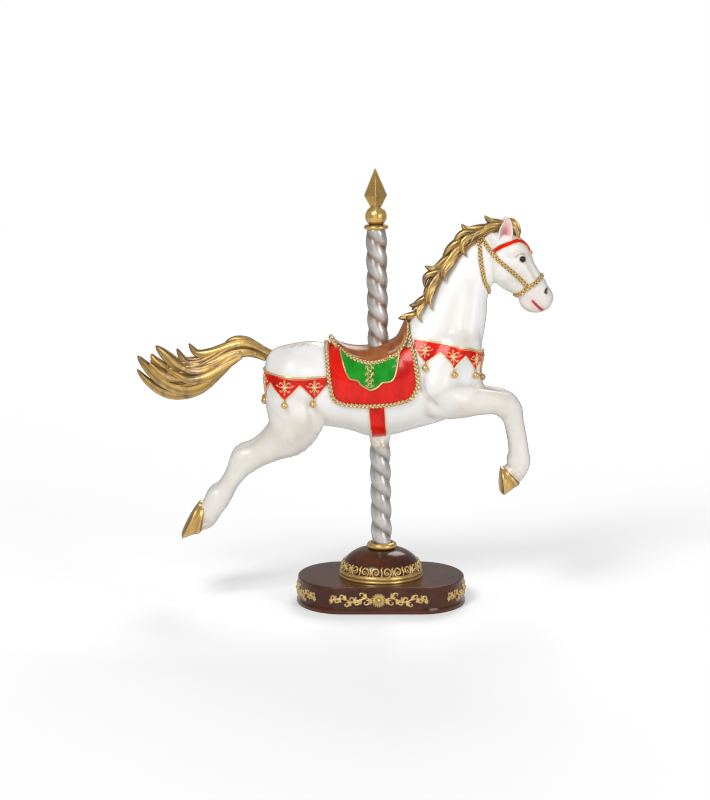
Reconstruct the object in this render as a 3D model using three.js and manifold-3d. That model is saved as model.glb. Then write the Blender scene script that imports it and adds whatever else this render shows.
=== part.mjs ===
// A carousel horse: a cast, hollow horse in mid gallop on a barley-twist pole, with a turned dome and a
// gilt scroll gallery on a rounded plinth. Millimetres, +Z up, +X towards the horse's head, -Y its near
// side. The origin is the centre of the plinth's underside.
import * as THREE from "three";
import { mergeVertices } from "three/addons/utils/BufferGeometryUtils.js";
import Module from "manifold-3d";

const wasm = await Module();
wasm.setup();

// ---------------------------------------------------------------- driving dimensions
const GAP = 0.3;                     // clearance between pieces that touch

const PLINTH = { halfStraight: 105, endReach: 124, halfDepth: 152, height: 72.5, flare: 3, edge: 3 };
const DOME = { base: 111, top: 42, foot: PLINTH.height + GAP, spring: 85, crown: 147.5 };
const GALLERY = { inner: 111.4, outer: 116, height: 19, crestHeight: 24, crests: 11, thick: 2.8 };
const FOOT_COLLAR = { inner: 29.6, outer: 40.5, height: 17 };
const MAST = { x: 2, leanDegrees: 1.1, radius: 28, waist: 23.5, pitch: 106, top: 880 };
const FINIAL = { collar: 33, collarTube: 6, ball: 29, ballHeight: 35, waistHeight: 92, tip: 166, corner: 31 };
const MOULDING = { reach: 137, middle: 38, height: 20, proud: 5, flower: 20, petals: 10, leaves: 6, stem: 3 };

const ROUND = 24;                    // facets round the dome and its gallery

const BAND_PROUD = 3;                // harness bands stand this far off the coat
const BLANKET_PROUD = 5;
const FLAP_PROUD = 8;
const BELL_RADIUS = 9;

// ---------------------------------------------------------------- the horse's forms
// Each row is one cross-section on a form's centre line: x, z, half height in the side plane, half width,
// and y of the centre for the near side.
const TRUNK = [
  [-318, 626, 8, 10, 0], [-311, 624, 60, 46, 0], [-286, 615, 90, 74, 0], [-240, 610, 107, 89, 0],
  [-190, 610, 113, 92, 0], [-140, 603, 112, 91, 0], [-85, 593, 112, 90, 0], [-30, 584, 120, 90, 0],
  [25, 588, 121, 90, 0], [75, 606, 126, 88, 0], [125, 628, 134, 86, 0], [175, 643, 133, 82, 0],
  [218, 657, 122, 74, 0], [246, 672, 102, 60, 0], [264, 682, 72, 42, 0], [272, 684, 10, 10, 0],
];
const NECK = [
  [118, 650, 112, 70, 0], [150, 700, 110, 70, 0], [180, 752, 99, 63, 0], [203, 808, 84, 54, 0],
  [220, 862, 70, 46, 0], [245, 910, 62, 40, 0], [279, 952, 56, 36, 0], [308, 984, 42, 30, 0],
  [322, 998, 12, 12, 0],
];
const HEAD = [
  [278, 1000, 28, 22, 0], [299, 986, 48, 31, 0], [320, 966, 64, 36, 0], [340, 945, 66, 38, 0],
  [362, 913, 57, 36, 0], [384, 890, 46, 31, 0], [404, 870, 39, 27, 0], [422, 851, 37, 26, 0],
  [436, 834, 34, 25, 0], [447, 822, 24, 19, 0], [453, 816, 6, 6, 0],
];
const CHIN = [[384, 854, 14, 16, 0], [396, 834, 21, 21, 0], [411, 822, 19, 21, 0], [429, 816, 12, 16, 0],
  [437, 815, 3, 5, 0]];
const EAR = [
  [331, 992, 12, 8, -24], [334, 1012, 16, 9, -28], [339, 1034, 14, 8, -33], [343, 1050, 7, 5, -35],
  [345, 1058, 1.5, 1.5, -35],
];
const HIND_LEG = [
  [-232, 646, 60, 34, -42], [-230, 590, 80, 42, -46], [-230, 528, 77, 42, -50], [-254, 477, 65, 39, -54],
  [-296, 444, 42, 31, -55], [-340, 418, 33, 25, -55], [-375, 400, 37, 24, -54], [-396, 369, 27, 20, -53],
  [-414, 340, 23, 17, -52], [-430, 314, 26, 18, -52], [-447, 296, 32, 21, -51], [-464, 269, 29, 20, -51],
  [-480, 247, 30, 21, -51], [-496, 243, 34, 24, -51],
];
const HIND_FAR_SHIFT = [-4, -12];    // how far the far foot is set from the near one, in x and z
const FORE_LEG = [
  [118, 606, 62, 32, -44], [165, 577, 58, 35, -51], [214, 567, 46, 32, -55], [268, 566, 35, 27, -57],
  [314, 562, 31, 24, -57], [348, 547, 37, 26, -57], [361, 508, 25, 19, -56], [370, 462, 24, 18, -55],
  [375, 426, 25, 19, -55], [376, 402, 28, 20, -55], [369, 378, 26, 19, -55], [353, 362, 28, 22, -55],
];
const FORE_FAR_SHIFT = [6, -17];
// A hoof runs from its coronet to its sole; each row gives the centre, the half vector from toe to heel in
// the side plane, and the half width.
const HIND_HOOF = { y: -51, coronet: [-490, 241, 8, 37, 27], sole: [-522, 235, 23, 48, 34] };
const FORE_HOOF = { y: -55, coronet: [355, 361, -18, 23, 26], sole: [330, 346, -4, 37, 32] };

const TAIL = [
  [-292, 678, 20, 18, 0], [-322, 692, 20, 18, 0], [-352, 703, 25, 20, 0], [-386, 704, 29, 22, 0],
  [-418, 694, 32, 25, 0], [-448, 671, 38, 29, 0], [-488, 643, 50, 32, 0], [-535, 630, 57, 33, 0],
  [-578, 624, 50, 30, 0], [-610, 626, 34, 22, 0], [-628, 630, 12, 9, 0],
];
// A lock of hair: four points on its run, root radius, and how far it lies to the near side.
const TAIL_LOCKS = [
  { run: [[-430, 686], [-465, 686], [-498, 693], [-525, 717]], root: 18, side: [-8, -4] },
  { run: [[-470, 668], [-508, 672], [-534, 682], [-554, 703]], root: 20, side: [10, 6] },
  { run: [[-510, 650], [-560, 656], [-590, 674], [-611, 712]], root: 28, side: [-6, 0] },
  { run: [[-530, 636], [-590, 640], [-632, 652], [-662, 684]], root: 29, side: [6, 8] },
  { run: [[-540, 606], [-600, 600], [-640, 614], [-666, 645]], root: 30, side: [-8, -4] },
  { run: [[-480, 614], [-540, 588], [-600, 586], [-646, 614]], root: 26, side: [8, 4] },
];
const MANE = [
  [62, 776, 8, 10, 0], [90, 794, 15, 18, 0], [113, 816, 16, 22, 0], [133, 844, 17, 25, 0],
  [145, 876, 18, 27, 0], [164, 910, 19, 28, 0], [190, 945, 19, 28, 0], [220, 977, 19, 28, 0],
  [254, 1008, 20, 27, 0], [292, 1032, 19, 25, 0], [325, 1042, 16, 22, 0], [352, 1034, 13, 18, 0],
  [369, 1012, 5, 8, 0],
];
const MANE_LOCKS = [
  { run: [[112, 806], [86, 792], [66, 784], [46, 783]], root: 13, side: [-6, -4] },
  { run: [[134, 840], [110, 824], [94, 815], [76, 816]], root: 14, side: [4, 2] },
  { run: [[166, 906], [150, 898], [134, 886], [122, 862]], root: 15, side: [-6, -8] },
  { run: [[178, 930], [154, 918], [136, 918], [118, 927]], root: 15, side: [2, 0] },
  { run: [[236, 992], [218, 986], [208, 988], [200, 996]], root: 14, side: [-4, -4] },
  { run: [[272, 1026], [248, 1020], [232, 1028], [216, 1042]], root: 16, side: [2, 0] },
  { run: [[318, 1050], [302, 1048], [290, 1052], [277, 1064]], root: 12, side: [0, 0] },
  { run: [[240, 1000], [226, 990], [222, 972], [231, 954]], root: 13, side: [-26, -38] },
  { run: [[186, 946], [168, 932], [160, 912], [165, 890]], root: 14, side: [-26, -44] },
  { run: [[134, 862], [120, 840], [112, 812], [111, 782]], root: 14, side: [-26, -46] },
  { run: [[214, 976], [196, 964], [186, 946], [188, 922]], root: 14, side: [26, 40] },
  { run: [[158, 904], [142, 888], [136, 866], [140, 842]], root: 14, side: [26, 46] },
];

// The saddle: section centre x, z, half height and half width, fuller at the cantle and the pommel.
const SADDLE = [
  [-138, 650, 84, 78, 0], [-124, 630, 102, 96, 0], [-104, 612, 106, 100, 0], [-60, 600, 113, 100, 0],
  [0, 602, 117, 100, 0], [36, 616, 118, 98, 0], [56, 640, 130, 96, 0], [70, 664, 118, 84, 0],
];

// Harness outlines in the side plane, x and z.
const SADDLE_EDGE = [
  [-146, 760], [-134, 732], [-110, 706], [-78, 686], [-30, 674], [19, 686], [51, 709], [71, 750], [72, 800],
];
const BLANKET_EDGE = [
  [-154, 745], [-148, 690], [-142, 630], [-132, 581], [-105, 559], [-30, 553], [51, 565], [86, 587],
  [94, 636], [88, 690], [77, 745],
];
const FLAP_EDGE = [
  [-118, 712], [-100, 655], [-83, 629], [-65, 628], [-57, 616], [-30, 603], [-6, 614], [2, 623], [24, 624],
  [37, 640], [52, 706],
];
const GIRTH_EDGE = [[-37, 570], [-28, 420], [15, 420], [8, 570]];
// The breech band's top edge climbs behind `bend`; its teeth are x and z along the lower edge, front first.
const BREECH = {
  front: -148, top: 636, bend: -218, climb: 0.1,
  teeth: [[-335, 585], [-312, 577], [-294, 618], [-258, 577], [-220, 618], [-182, 577], [-148, 618]],
};
// The chest band's top edge falls forwards; its teeth are x and the drop from the top edge.
const CHEST = {
  rear: 84, front: 300, top: 736, slope: -0.19,
  teeth: [[86, 27], [114, 61], [149, 33], [181, 65], [224, 27], [252, 59], [266, 27], [278, 61], [300, 27]],
};
const BREECH_BELLS = [[-308, 570, 46], [-259, 565, 0], [-182, 560, 0]];
const CHEST_BELLS = [[114, 665], [180, 648], [250, 634]];
const FRONT_BELL = [270, 628];

const STRAPS = [
  { run: [[262, 1006], [265, 965], [269, 920], [288, 868]], on: [NECK, HEAD] },   // throat latch
  { run: [[266, 1006], [298, 965], [347, 919], [396, 872]], on: [NECK, HEAD] },   // cheek strap
  { run: [[358, 848], [378, 858], [396, 874], [430, 898]], on: [HEAD] },          // noseband
  { run: [[298, 972], [330, 988], [368, 998], [386, 988], [399, 962]], on: [HEAD] },   // browband
];
const STRAP_WIDTH = 11;
const STRAP_PROUD = 4;
const STRAP_DEEP = 8;

// ---------------------------------------------------------------- finishes
const finish = (colour, roughness, metalness) =>
  new THREE.MeshStandardMaterial({ color: colour, roughness, metalness });
const WHITE = finish(0xf3efe8, 0.25, 0);
const SILVER = finish(0xbdb8b2, 0.35, 0.6);
const GOLD = finish(0xc79a4b, 0.4, 0.6);
const DARK_BROWN = finish(0x3a1a0e, 0.2, 0);

// ---------------------------------------------------------------- geometry helpers

// Catmull-Rom value between rows b and c of a table, at fraction t.
function between(a, b, c, d, t) {
  return b.map((_, i) => 0.5 * (2 * b[i] + (c[i] - a[i]) * t
    + (2 * a[i] - 5 * b[i] + 4 * c[i] - d[i]) * t * t
    + (3 * b[i] - a[i] - 3 * c[i] + d[i]) * t * t * t));
}

// A table of rows made finer, with `parts` rows for each span.
function refine(rows, parts) {
  const at = (i) => rows[Math.min(Math.max(i, 0), rows.length - 1)];
  const fine = [];
  for (let i = 0; i < rows.length - 1; i += 1) {
    for (let k = 0; k < parts; k += 1) {
      fine.push(between(at(i - 1), at(i), at(i + 1), at(i + 2), k / parts));
    }
  }
  fine.push(rows[rows.length - 1]);
  return fine;
}

// A closed body through rings of points, each ring with the same count, closed by a fan at both ends.
function loft(rings) {
  const sides = rings[0].length;
  const points = rings.flat();
  const faces = [];
  for (let r = 0; r < rings.length - 1; r += 1) {
    for (let s = 0; s < sides; s += 1) {
      const a = r * sides + s;
      const b = r * sides + (s + 1) % sides;
      faces.push(a, b, b + sides, a, b + sides, a + sides);
    }
  }
  for (const [ring, first] of [[rings[0], 0], [rings[rings.length - 1], (rings.length - 1) * sides]]) {
    const centre = points.length;
    points.push(ring.reduce((sum, p) => sum.add(p), new THREE.Vector3()).divideScalar(sides));
    for (let s = 0; s < sides; s += 1) {
      const a = first + s;
      const b = first + (s + 1) % sides;
      faces.push(...(first === 0 ? [centre, b, a] : [centre, a, b]));
    }
  }
  const geometry = new THREE.BufferGeometry();
  geometry.setAttribute("position", new THREE.Float32BufferAttribute(points.flatMap((p) => p.toArray()), 3));
  geometry.setIndex(faces);
  return geometry;
}

// A closed three.js geometry as a solid that can be joined and cut; an inside-out one is turned.
function solid(geometry) {
  let body = geometry.clone();
  body.deleteAttribute("normal");
  body.deleteAttribute("uv");
  body = mergeVertices(body, 1e-4);
  const position = body.getAttribute("position");
  const triangles = Uint32Array.from(body.index.array);
  const corner = (i) => new THREE.Vector3().fromBufferAttribute(position, triangles[i]);
  let volume = 0;
  for (let i = 0; i < triangles.length; i += 3) {
    volume += corner(i).dot(corner(i + 1).cross(corner(i + 2)));
  }
  if (volume < 0) {
    for (let i = 0; i < triangles.length; i += 3) {
      [triangles[i], triangles[i + 1]] = [triangles[i + 1], triangles[i]];
    }
  }
  return new wasm.Manifold(new wasm.Mesh({
    numProp: 3,
    vertProperties: Float32Array.from(position.array),
    triVerts: triangles,
  }));
}

const joined = (solids) => solids.reduce((sum, next) => sum.add(next));

function geometryOf(body) {
  const mesh = body.getMesh();
  const geometry = new THREE.BufferGeometry();
  geometry.setAttribute("position", new THREE.BufferAttribute(Float32Array.from(mesh.vertProperties), 3));
  geometry.setIndex(new THREE.BufferAttribute(Uint32Array.from(mesh.triVerts), 1));
  return geometry;
}

// A form lofted along its table of cross-sections, which stand square to the centre line, or upright.
// `grow` fattens it all round.
function form(rows, { sides = 12, parts = 1, grow = 0, mirror = false, upright = false } = {}) {
  const fine = refine(rows, parts);
  const middle = (rows[0][0] + rows[rows.length - 1][0]) / 2;
  const turn = 2 * Math.PI / sides;
  const full = Math.sqrt(turn / Math.sin(turn));       // keeps the area of the ellipse
  const rings = fine.map(([x, z, high, wide, y], i) => {
    const [x0, z0] = fine[Math.max(i - 1, 0)];
    const [x1, z1] = fine[Math.min(i + 1, fine.length - 1)];
    const along = new THREE.Vector2(x1 - x0, upright ? 0 : z1 - z0).normalize();
    const place = upright ? x + grow * (x - middle) / Math.abs(rows[0][0] - middle) : x;
    return Array.from({ length: sides }, (_, s) => {
      const angle = 2 * Math.PI * (s + 0.5) / sides;
      const up = full * (high + grow) * Math.cos(angle);
      const out = full * (wide + grow) * Math.sin(angle);
      return new THREE.Vector3(place - along.y * up, (mirror ? -y : y) + out, z + along.x * up);
    });
  });
  return solid(loft(rings));
}

// A hoof between the planes of its coronet and its sole.
function hoof({ y, coronet, sole }, mirror, sides = 8) {
  const ring = ([x, z, heelX, heelZ, wide]) => Array.from({ length: sides }, (_, s) => {
    const angle = 2 * Math.PI * (s + 0.5) / sides;
    const heel = Math.cos(angle);
    const out = Math.sin(angle);
    return new THREE.Vector3(x + heelX * heel, (mirror ? -y : y) + wide * out, z + heelZ * heel);
  });
  return solid(loft([ring(coronet), ring(sole)]));
}

// A tapering lock of hair along a run of points, from its root to a sharp tip.
function lock({ run, root, side }, sides = 4, steps = 4) {
  const path = new THREE.CatmullRomCurve3(run.map(([x, z], i) => {
    const share = i / (run.length - 1);
    return new THREE.Vector3(x, side[0] + (side[1] - side[0]) * share, z);
  }));
  const rows = Array.from({ length: steps + 1 }, (_, i) => {
    const share = i / steps;
    const at = path.getPoint(share);
    const radius = Math.max(root * (1 - share) ** 0.55, 0.8);
    return [at.x, at.z, radius, radius * 0.8, at.y];
  });
  return form(rows, { sides });
}

// A side-plane outline run right across the horse, or between two y values.
function across(outline, near = -200, far = 200) {
  const shape = new THREE.Shape(outline.map(([x, z]) => new THREE.Vector2(x, z)));
  const geometry = new THREE.ExtrudeGeometry(shape, { depth: far - near, bevelEnabled: false });
  geometry.rotateX(Math.PI / 2);
  geometry.translate(0, far, 0);
  return solid(geometry);
}

const ball = (x, y, z, radius) => solid(new THREE.IcosahedronGeometry(radius, 0).translate(x, y, z));

// ---------------------------------------------------------------- the horse

// A leg's rows for the far side, each moved by its share of the way down to the foot.
const farRows = (rows, [dx, dz]) => rows.map(([x, z, ...rest], i) => {
  const share = i / (rows.length - 1);
  return [x + dx * share, z + dz * share, ...rest];
});
const farHoof = ({ y, coronet, sole }, [dx, dz]) => {
  const moved = ([x, z, ...rest]) => [x + dx, z + dz, ...rest];
  return { y, coronet: moved(coronet), sole: moved(sole) };
};
const hindLeg = (mirror, grow = 0) => form(
  mirror ? farRows(HIND_LEG, HIND_FAR_SHIFT) : HIND_LEG, { sides: 8, grow, mirror },
);
const foreLeg = (mirror, grow = 0) => form(
  mirror ? farRows(FORE_LEG, FORE_FAR_SHIFT) : FORE_LEG, { sides: 8, grow, mirror },
);
const hooves = (mirror) => [[HIND_HOOF, HIND_FAR_SHIFT], [FORE_HOOF, FORE_FAR_SHIFT]].map(
  ([near, shift]) => hoof(mirror ? farHoof(near, shift) : near, mirror),
);
const trunk = (grow = 0) => form(TRUNK, { sides: 14, grow, upright: true });
const neck = (grow = 0) => form(NECK, { sides: 10, grow });
const head = (grow = 0) => form(HEAD, { sides: 10, grow });

// The coat as one solid, or grown by a layer's thickness to wrap the harness round it.
const torso = (grow) => joined([trunk(grow), neck(grow), ...[false, true].flatMap(
  (mirror) => [hindLeg(mirror, grow), foreLeg(mirror, grow)],
)]);

function breechEdge() {
  const { front, top, bend, climb, teeth } = BREECH;
  const rear = teeth[0][0];
  return [[front, top], [bend, top], [rear, top + (bend - rear) * climb], ...teeth];
}

function chestEdge() {
  const { rear, front, slope, teeth } = CHEST;
  const top = (x) => CHEST.top + (x - rear) * slope;
  return [[front, top(front)], [rear, top(rear)], ...teeth.map(([x, drop]) => [x, top(x) - drop])];
}

function seat(grow = 0) {
  const rows = SADDLE.map(([x, z, high, wide, y]) => [x, z, high + grow, wide + grow, y]);
  return form(rows, { sides: 14, upright: true });
}

function harness() {
  const bands = torso(BAND_PROUD).intersect(joined([
    across(breechEdge()), across(chestEdge()),
  ]));
  const girth = trunk(BAND_PROUD).intersect(across(GIRTH_EDGE));
  const blanket = trunk(BLANKET_PROUD).intersect(across(BLANKET_EDGE));
  const flap = trunk(FLAP_PROUD).intersect(across(FLAP_EDGE));
  return [bands, girth, blanket, flap, seat().intersect(across(SADDLE_EDGE))];
}

// Half the width of a form at a point of the side plane, from the cross-section nearest to it.
function flank(rows, x, z, upright = false) {
  const fine = refine(rows, 3);
  const near = fine.map(([cx, cz, high, wide, y], i) => {
    const [x0, z0] = fine[Math.max(i - 1, 0)];
    const [x1, z1] = fine[Math.min(i + 1, fine.length - 1)];
    const along = new THREE.Vector2(x1 - x0, upright ? 0 : z1 - z0).normalize();
    const ahead = (x - cx) * along.x + (z - cz) * along.y;
    const up = (z - cz) * along.x - (x - cx) * along.y;
    return { off: Math.abs(ahead), out: wide * Math.sqrt(Math.max(1 - (up / high) ** 2, 0)) };
  });
  return near.reduce((best, next) => (next.off < best.off ? next : best)).out;
}

// A flat strap laid on the head or neck along a run, on one side, and let into it.
function strap({ run, on }, side) {
  const rings = run.map(([x, z], i) => {
    const [x0, z0] = run[Math.max(i - 1, 0)];
    const [x1, z1] = run[Math.min(i + 1, run.length - 1)];
    const half = new THREE.Vector2(z0 - z1, x1 - x0).normalize().multiplyScalar(STRAP_WIDTH / 2);
    const out = Math.max(...on.map((rows) => flank(rows, x, z)), STRAP_PROUD);
    const corners = [[-1, -STRAP_DEEP], [1, -STRAP_DEEP], [1, STRAP_PROUD], [-1, STRAP_PROUD]];
    return corners.map(([edge, proud]) => new THREE.Vector3(
      x + half.x * edge, side * (out + proud), z + half.y * edge,
    ));
  });
  return solid(loft(rings));
}

const bridle = () => [-1, 1].flatMap((side) => STRAPS.map((each) => strap(each, side)));

function bells() {
  const hung = [];
  for (const side of [-1, 1]) {
    for (const [x, z, y = 0] of [...BREECH_BELLS, ...CHEST_BELLS]) {
      const out = y || flank(TRUNK, x, z, true) + BELL_RADIUS / 2;
      hung.push(ball(x, side * out, z, BELL_RADIUS));
    }
  }
  hung.push(ball(FRONT_BELL[0], 0, FRONT_BELL[1], BELL_RADIUS));
  return hung;
}

function horse() {
  const legs = [false, true].flatMap((mirror) => [
    hindLeg(mirror), foreLeg(mirror), ...hooves(mirror), form(EAR, { sides: 6, mirror }),
  ]);
  const hair = [
    form(TAIL, { sides: 8 }), form(MANE, { sides: 6 }),
    ...[...TAIL_LOCKS, ...MANE_LOCKS].map((each) => lock(each)),
  ];
  const body = [trunk(), neck(), head(), form(CHIN, { sides: 8 })];
  return joined([...body, ...legs, ...harness(), ...bridle(), ...bells(), ...hair]);
}

// ---------------------------------------------------------------- pole, finial and foot

const BELLY_ABOVE = 350;                // heights up the mast inside the horse, where its lengths are cut off
const SEAT_BELOW = 520;
const MAST_FOOT = new THREE.Matrix4()
  .makeTranslation(MAST.x, 0, DOME.crown + GAP)
  .multiply(new THREE.Matrix4().makeRotationY(-THREE.MathUtils.degToRad(MAST.leanDegrees)));

// A length of two-start, left-handed barley twist between two heights above the foot of the mast.
function twist(from, to, sides = 10, turnSteps = 7) {
  const steps = Math.ceil((to - from) / MAST.pitch * turnSteps);
  const rings = Array.from({ length: steps + 1 }, (_, i) => {
    const z = from + (to - from) * i / steps;
    const turn = -2 * Math.PI * z / MAST.pitch;
    return Array.from({ length: sides }, (_, s) => {
      const angle = 2 * Math.PI * s / sides;
      const radius = MAST.waist + (MAST.radius - MAST.waist) * Math.abs(Math.cos(angle)) ** 0.7;
      const at = new THREE.Vector3(radius * Math.cos(angle + turn), radius * Math.sin(angle + turn), z);
      return at.applyMatrix4(MAST_FOOT);
    });
  });
  return solid(loft(rings));
}

// The dome's radius at a height between its spring and its crown.
function domeRadius(z) {
  const share = Math.min(Math.max((z - DOME.spring) / (DOME.crown - DOME.spring), 0), 1);
  return DOME.top + (DOME.base - DOME.top) * (1 - share * share) ** 0.62;
}

function dome(grow = 0) {
  const rise = [0, 0.3, 0.55, 0.75, 0.9, 1].map((share) => DOME.spring + (DOME.crown - DOME.spring) * share);
  const profile = [[0, DOME.foot], [DOME.base + grow, DOME.foot],
    ...rise.map((z) => [domeRadius(z) + grow, z + grow]), [0, DOME.crown + grow]];
  const points = profile.map(([r, z]) => new THREE.Vector2(r, z));
  return solid(new THREE.LatheGeometry(points, ROUND).rotateX(Math.PI / 2));
}

// The lower pole stands on the dome and ends against the girth under the belly.
function poleLower() {
  return twist(-4, BELLY_ABOVE).subtract(dome(GAP)).subtract(trunk(BAND_PROUD + GAP));
}

// The upper pole rises from the saddle to the collar.
function poleUpper() {
  return twist(SEAT_BELOW, MAST.top).subtract(seat(GAP)).subtract(trunk(FLAP_PROUD + GAP));
}

function finial() {
  const { collar, collarTube, ball: radius, ballHeight, waistHeight, tip, corner } = FINIAL;
  const arc = (centre, r, from, to, steps, z) => Array.from({ length: steps + 1 }, (_, i) => {
    const angle = THREE.MathUtils.degToRad(from + (to - from) * i / steps);
    return new THREE.Vector2(centre + r * Math.cos(angle), z + r * Math.sin(angle));
  });
  const turned = [
    new THREE.Vector2(0, 0.1), ...arc(collar - collarTube, collarTube, -85, 85, 3, collarTube + 0.1),
    ...arc(0, radius, -50, 70, 5, ballHeight), new THREE.Vector2(0, ballHeight + radius),
  ];
  const bulb = new THREE.LatheGeometry(turned, 14).rotateX(Math.PI / 2);
  const spearRings = [[-4, 2], [waistHeight - ballHeight, corner], [tip - ballHeight - 2, 1]];
  const spear = loft(spearRings.map(([z, r]) => [0, 1, 2, 3].map(
    (s) => new THREE.Vector3(r * Math.sin(s * Math.PI / 2), -r * Math.cos(s * Math.PI / 2), ballHeight + z),
  )));
  const place = MAST_FOOT.clone().multiply(new THREE.Matrix4().makeTranslation(0, 0, MAST.top + GAP));
  return solid(bulb.applyMatrix4(place)).add(solid(spear.applyMatrix4(place)));
}

function footCollar() {
  const { inner, outer, height } = FOOT_COLLAR;
  const bottom = DOME.crown + GAP;
  const middle = bottom + height / 2;
  const bulge = outer - height / 2;
  const round = Array.from({ length: 5 }, (_, i) => {
    const angle = -Math.PI / 2 + Math.PI * i / 4;
    return new THREE.Vector2(bulge + height / 2 * Math.cos(angle), middle + height / 2 * Math.sin(angle));
  });
  const profile = [new THREE.Vector2(inner, bottom), ...round, new THREE.Vector2(inner, bottom + height)];
  const ring = [...profile, profile[0].clone()];
  return solid(new THREE.LatheGeometry(ring, 16).rotateX(Math.PI / 2).translate(MAST.x, 0, 0));
}

// The gilt gallery: a moulded band round the dome's foot, with a crest of C-scrolls leaning on the dome.
function gallery() {
  const { inner, outer, height, crestHeight, crests, thick } = GALLERY;
  const foot = DOME.foot;
  const profile = [
    [inner, foot], [outer, foot], [outer - 1.5, foot + height / 2], [outer - 0.5, foot + height],
    [inner, foot + height], [inner, foot],
  ].map(([r, z]) => new THREE.Vector2(r, z));
  const band = solid(new THREE.LatheGeometry(profile, ROUND).rotateX(Math.PI / 2));
  const reach = 0.82 * Math.PI / crests;
  const sunk = 3;                      // a crest starts inside the band
  const steps = 4;
  const scrolls = Array.from({ length: crests }, (_, k) => solid(loft(
    Array.from({ length: steps + 1 }, (__, i) => {
      const share = i / steps;
      const angle = 2 * Math.PI * k / crests + reach * Math.cos(Math.PI * share);
      const rise = foot + height - sunk + crestHeight * Math.sin(Math.PI * share) ** 0.6;
      const radius = domeRadius(rise - thick) + GAP + 1.7 * thick;
      const level = Math.cos(Math.PI * share);
      return [0, 1, 2].map((s) => {
        const turn = 2 * Math.PI / 3 * s;
        const ring = radius + thick * Math.cos(turn);
        const shift = thick * Math.sin(turn);
        return new THREE.Vector3(
          ring * Math.cos(angle + shift * level / radius),
          ring * Math.sin(angle + shift * level / radius),
          rise + shift * Math.sin(Math.PI * share),
        );
      });
    }),
  )));
  return joined([band, ...scrolls]).subtract(dome(GAP));
}

// ---------------------------------------------------------------- plinth and its mouldings

// The plinth's plan: half ellipses joined by two straight sides, anticlockwise from the front right.
function plinthPlan(grow, endSteps = 10) {
  const { halfStraight, endReach, halfDepth } = PLINTH;
  const end = (side) => Array.from({ length: endSteps + 1 }, (_, i) => {
    const angle = side * (-Math.PI / 2) + Math.PI * i / endSteps;
    return new THREE.Vector2(
      side * halfStraight + (endReach + grow) * Math.cos(angle),
      (halfDepth + grow) * Math.sin(angle),
    );
  });
  return [...end(1), ...end(-1)];
}

function plinth(grow = 0) {
  const { height, flare, edge } = PLINTH;
  const levels = [[0, flare], [8, flare], [16, 0], [height - edge, 0], [height, -edge]];
  return solid(loft(levels.map(([z, out]) => plinthPlan(out + grow).map(
    (p) => new THREE.Vector3(p.x, p.y, z),
  ))));
}

const FINE_END = 40;                   // steps round an end of the plan that the garlands follow
const PLAN_LOOP = new THREE.CurvePath();
plinthPlan(2 * GAP, FINE_END).forEach((p, i, plan) => {
  PLAN_LOOP.add(new THREE.LineCurve(p, plan[(i + 1) % plan.length]));
});
const END_RUN = PLAN_LOOP.getCurveLengths()[FINE_END - 1];
const FACE_MIDDLE = {
  front: -PLINTH.halfStraight,
  right: END_RUN / 2,
  back: END_RUN + PLINTH.halfStraight,
  left: END_RUN * 1.5 + 2 * PLINTH.halfStraight,
};

// The point on the plinth's side at a run along it from the middle of one face, standing off by `off`.
function plinthSide(run, off, face) {
  const nudge = 0.001;
  const share = ((FACE_MIDDLE[face] + run) / PLAN_LOOP.getLength() + 1) % 1;
  const at = PLAN_LOOP.getPointAt(share);
  const before = PLAN_LOOP.getPointAt((share + 1 - nudge) % 1);
  const after = PLAN_LOOP.getPointAt((share + nudge) % 1);
  const out = new THREE.Vector2(after.y - before.y, before.x - after.x).normalize();
  return at.addScaledVector(out, off);
}

// One cast garland: a sunflower, and on each side a waved, ridged stem whose edges swell into leaves that
// lean outwards, bent round the plinth's face.
function garland(face) {
  const { reach, middle, height, proud, flower, petals, leaves, stem } = MOULDING;
  const place = (run, rise, off) => {
    const at = plinthSide(run, off, face);
    return new THREE.Vector3(at.x, at.y, middle + rise);
  };
  const disc = (radius, off) => Array.from({ length: petals * 2 }, (_, s) => {
    const angle = Math.PI * s / petals;
    const r = radius * (s % 2 === 0 ? 1 : 0.82);
    return place(r * Math.cos(angle), r * Math.sin(angle), off);
  });
  const sunflower = solid(loft([disc(flower, -1), disc(flower, proud - 1), disc(flower * 0.35, proud + 1)]));
  const root = flower * 0.75;
  const steps = 4 * leaves;
  const stems = [-1, 1].map((side) => {
    const rings = Array.from({ length: steps + 1 }, (_, i) => {
      const share = i / steps;
      const run = side * (root + (reach - root) * share);
      const wave = height * 0.3 * Math.sin(share * 3 * Math.PI);
      const leaf = (phase) => (1 - 0.35 * share) * height * 0.75 * (((share * leaves + phase) % 1) ** 1.5);
      const upper = Math.min(wave + stem + leaf(0), height);
      const lower = Math.max(wave - stem - leaf(0.5), -height);
      return [place(run, lower, 0), place(run, wave, proud - 1), place(run, upper, 0)];
    });
    return solid(loft(rings));
  });
  return joined([sunflower.subtract(plinth(GAP)), ...stems]);
}

// ---------------------------------------------------------------- assembly

const model = new THREE.Group();

function add(name, body, material) {
  const mesh = new THREE.Mesh(geometryOf(body), material);
  mesh.name = name;
  model.add(mesh);
}

add("horse", horse(), WHITE);
add("pole_lower", poleLower(), SILVER);
add("pole_upper", poleUpper(), SILVER);
add("finial", finial(), GOLD);
add("foot_collar", footCollar(), GOLD);
add("dome", dome(), DARK_BROWN);
add("dome_gallery", gallery(), GOLD);
add("plinth", plinth(), DARK_BROWN);
for (const face of Object.keys(FACE_MIDDLE)) {
  add(`scroll_${face}`, garland(face), GOLD);
}

export default model;
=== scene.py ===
"""The looks of a carousel horse on its barley-twist pole, dome and plinth.

The forms are worked out in millimetres in the row's frame: +Z up, +X towards the horse's head, -Y its near
side. Each piece is turned into metres as it is made. The horse's coat is one smooth surface round blended
forms; the harness, hair and gilding are laid on that surface.
"""

import math

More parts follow.
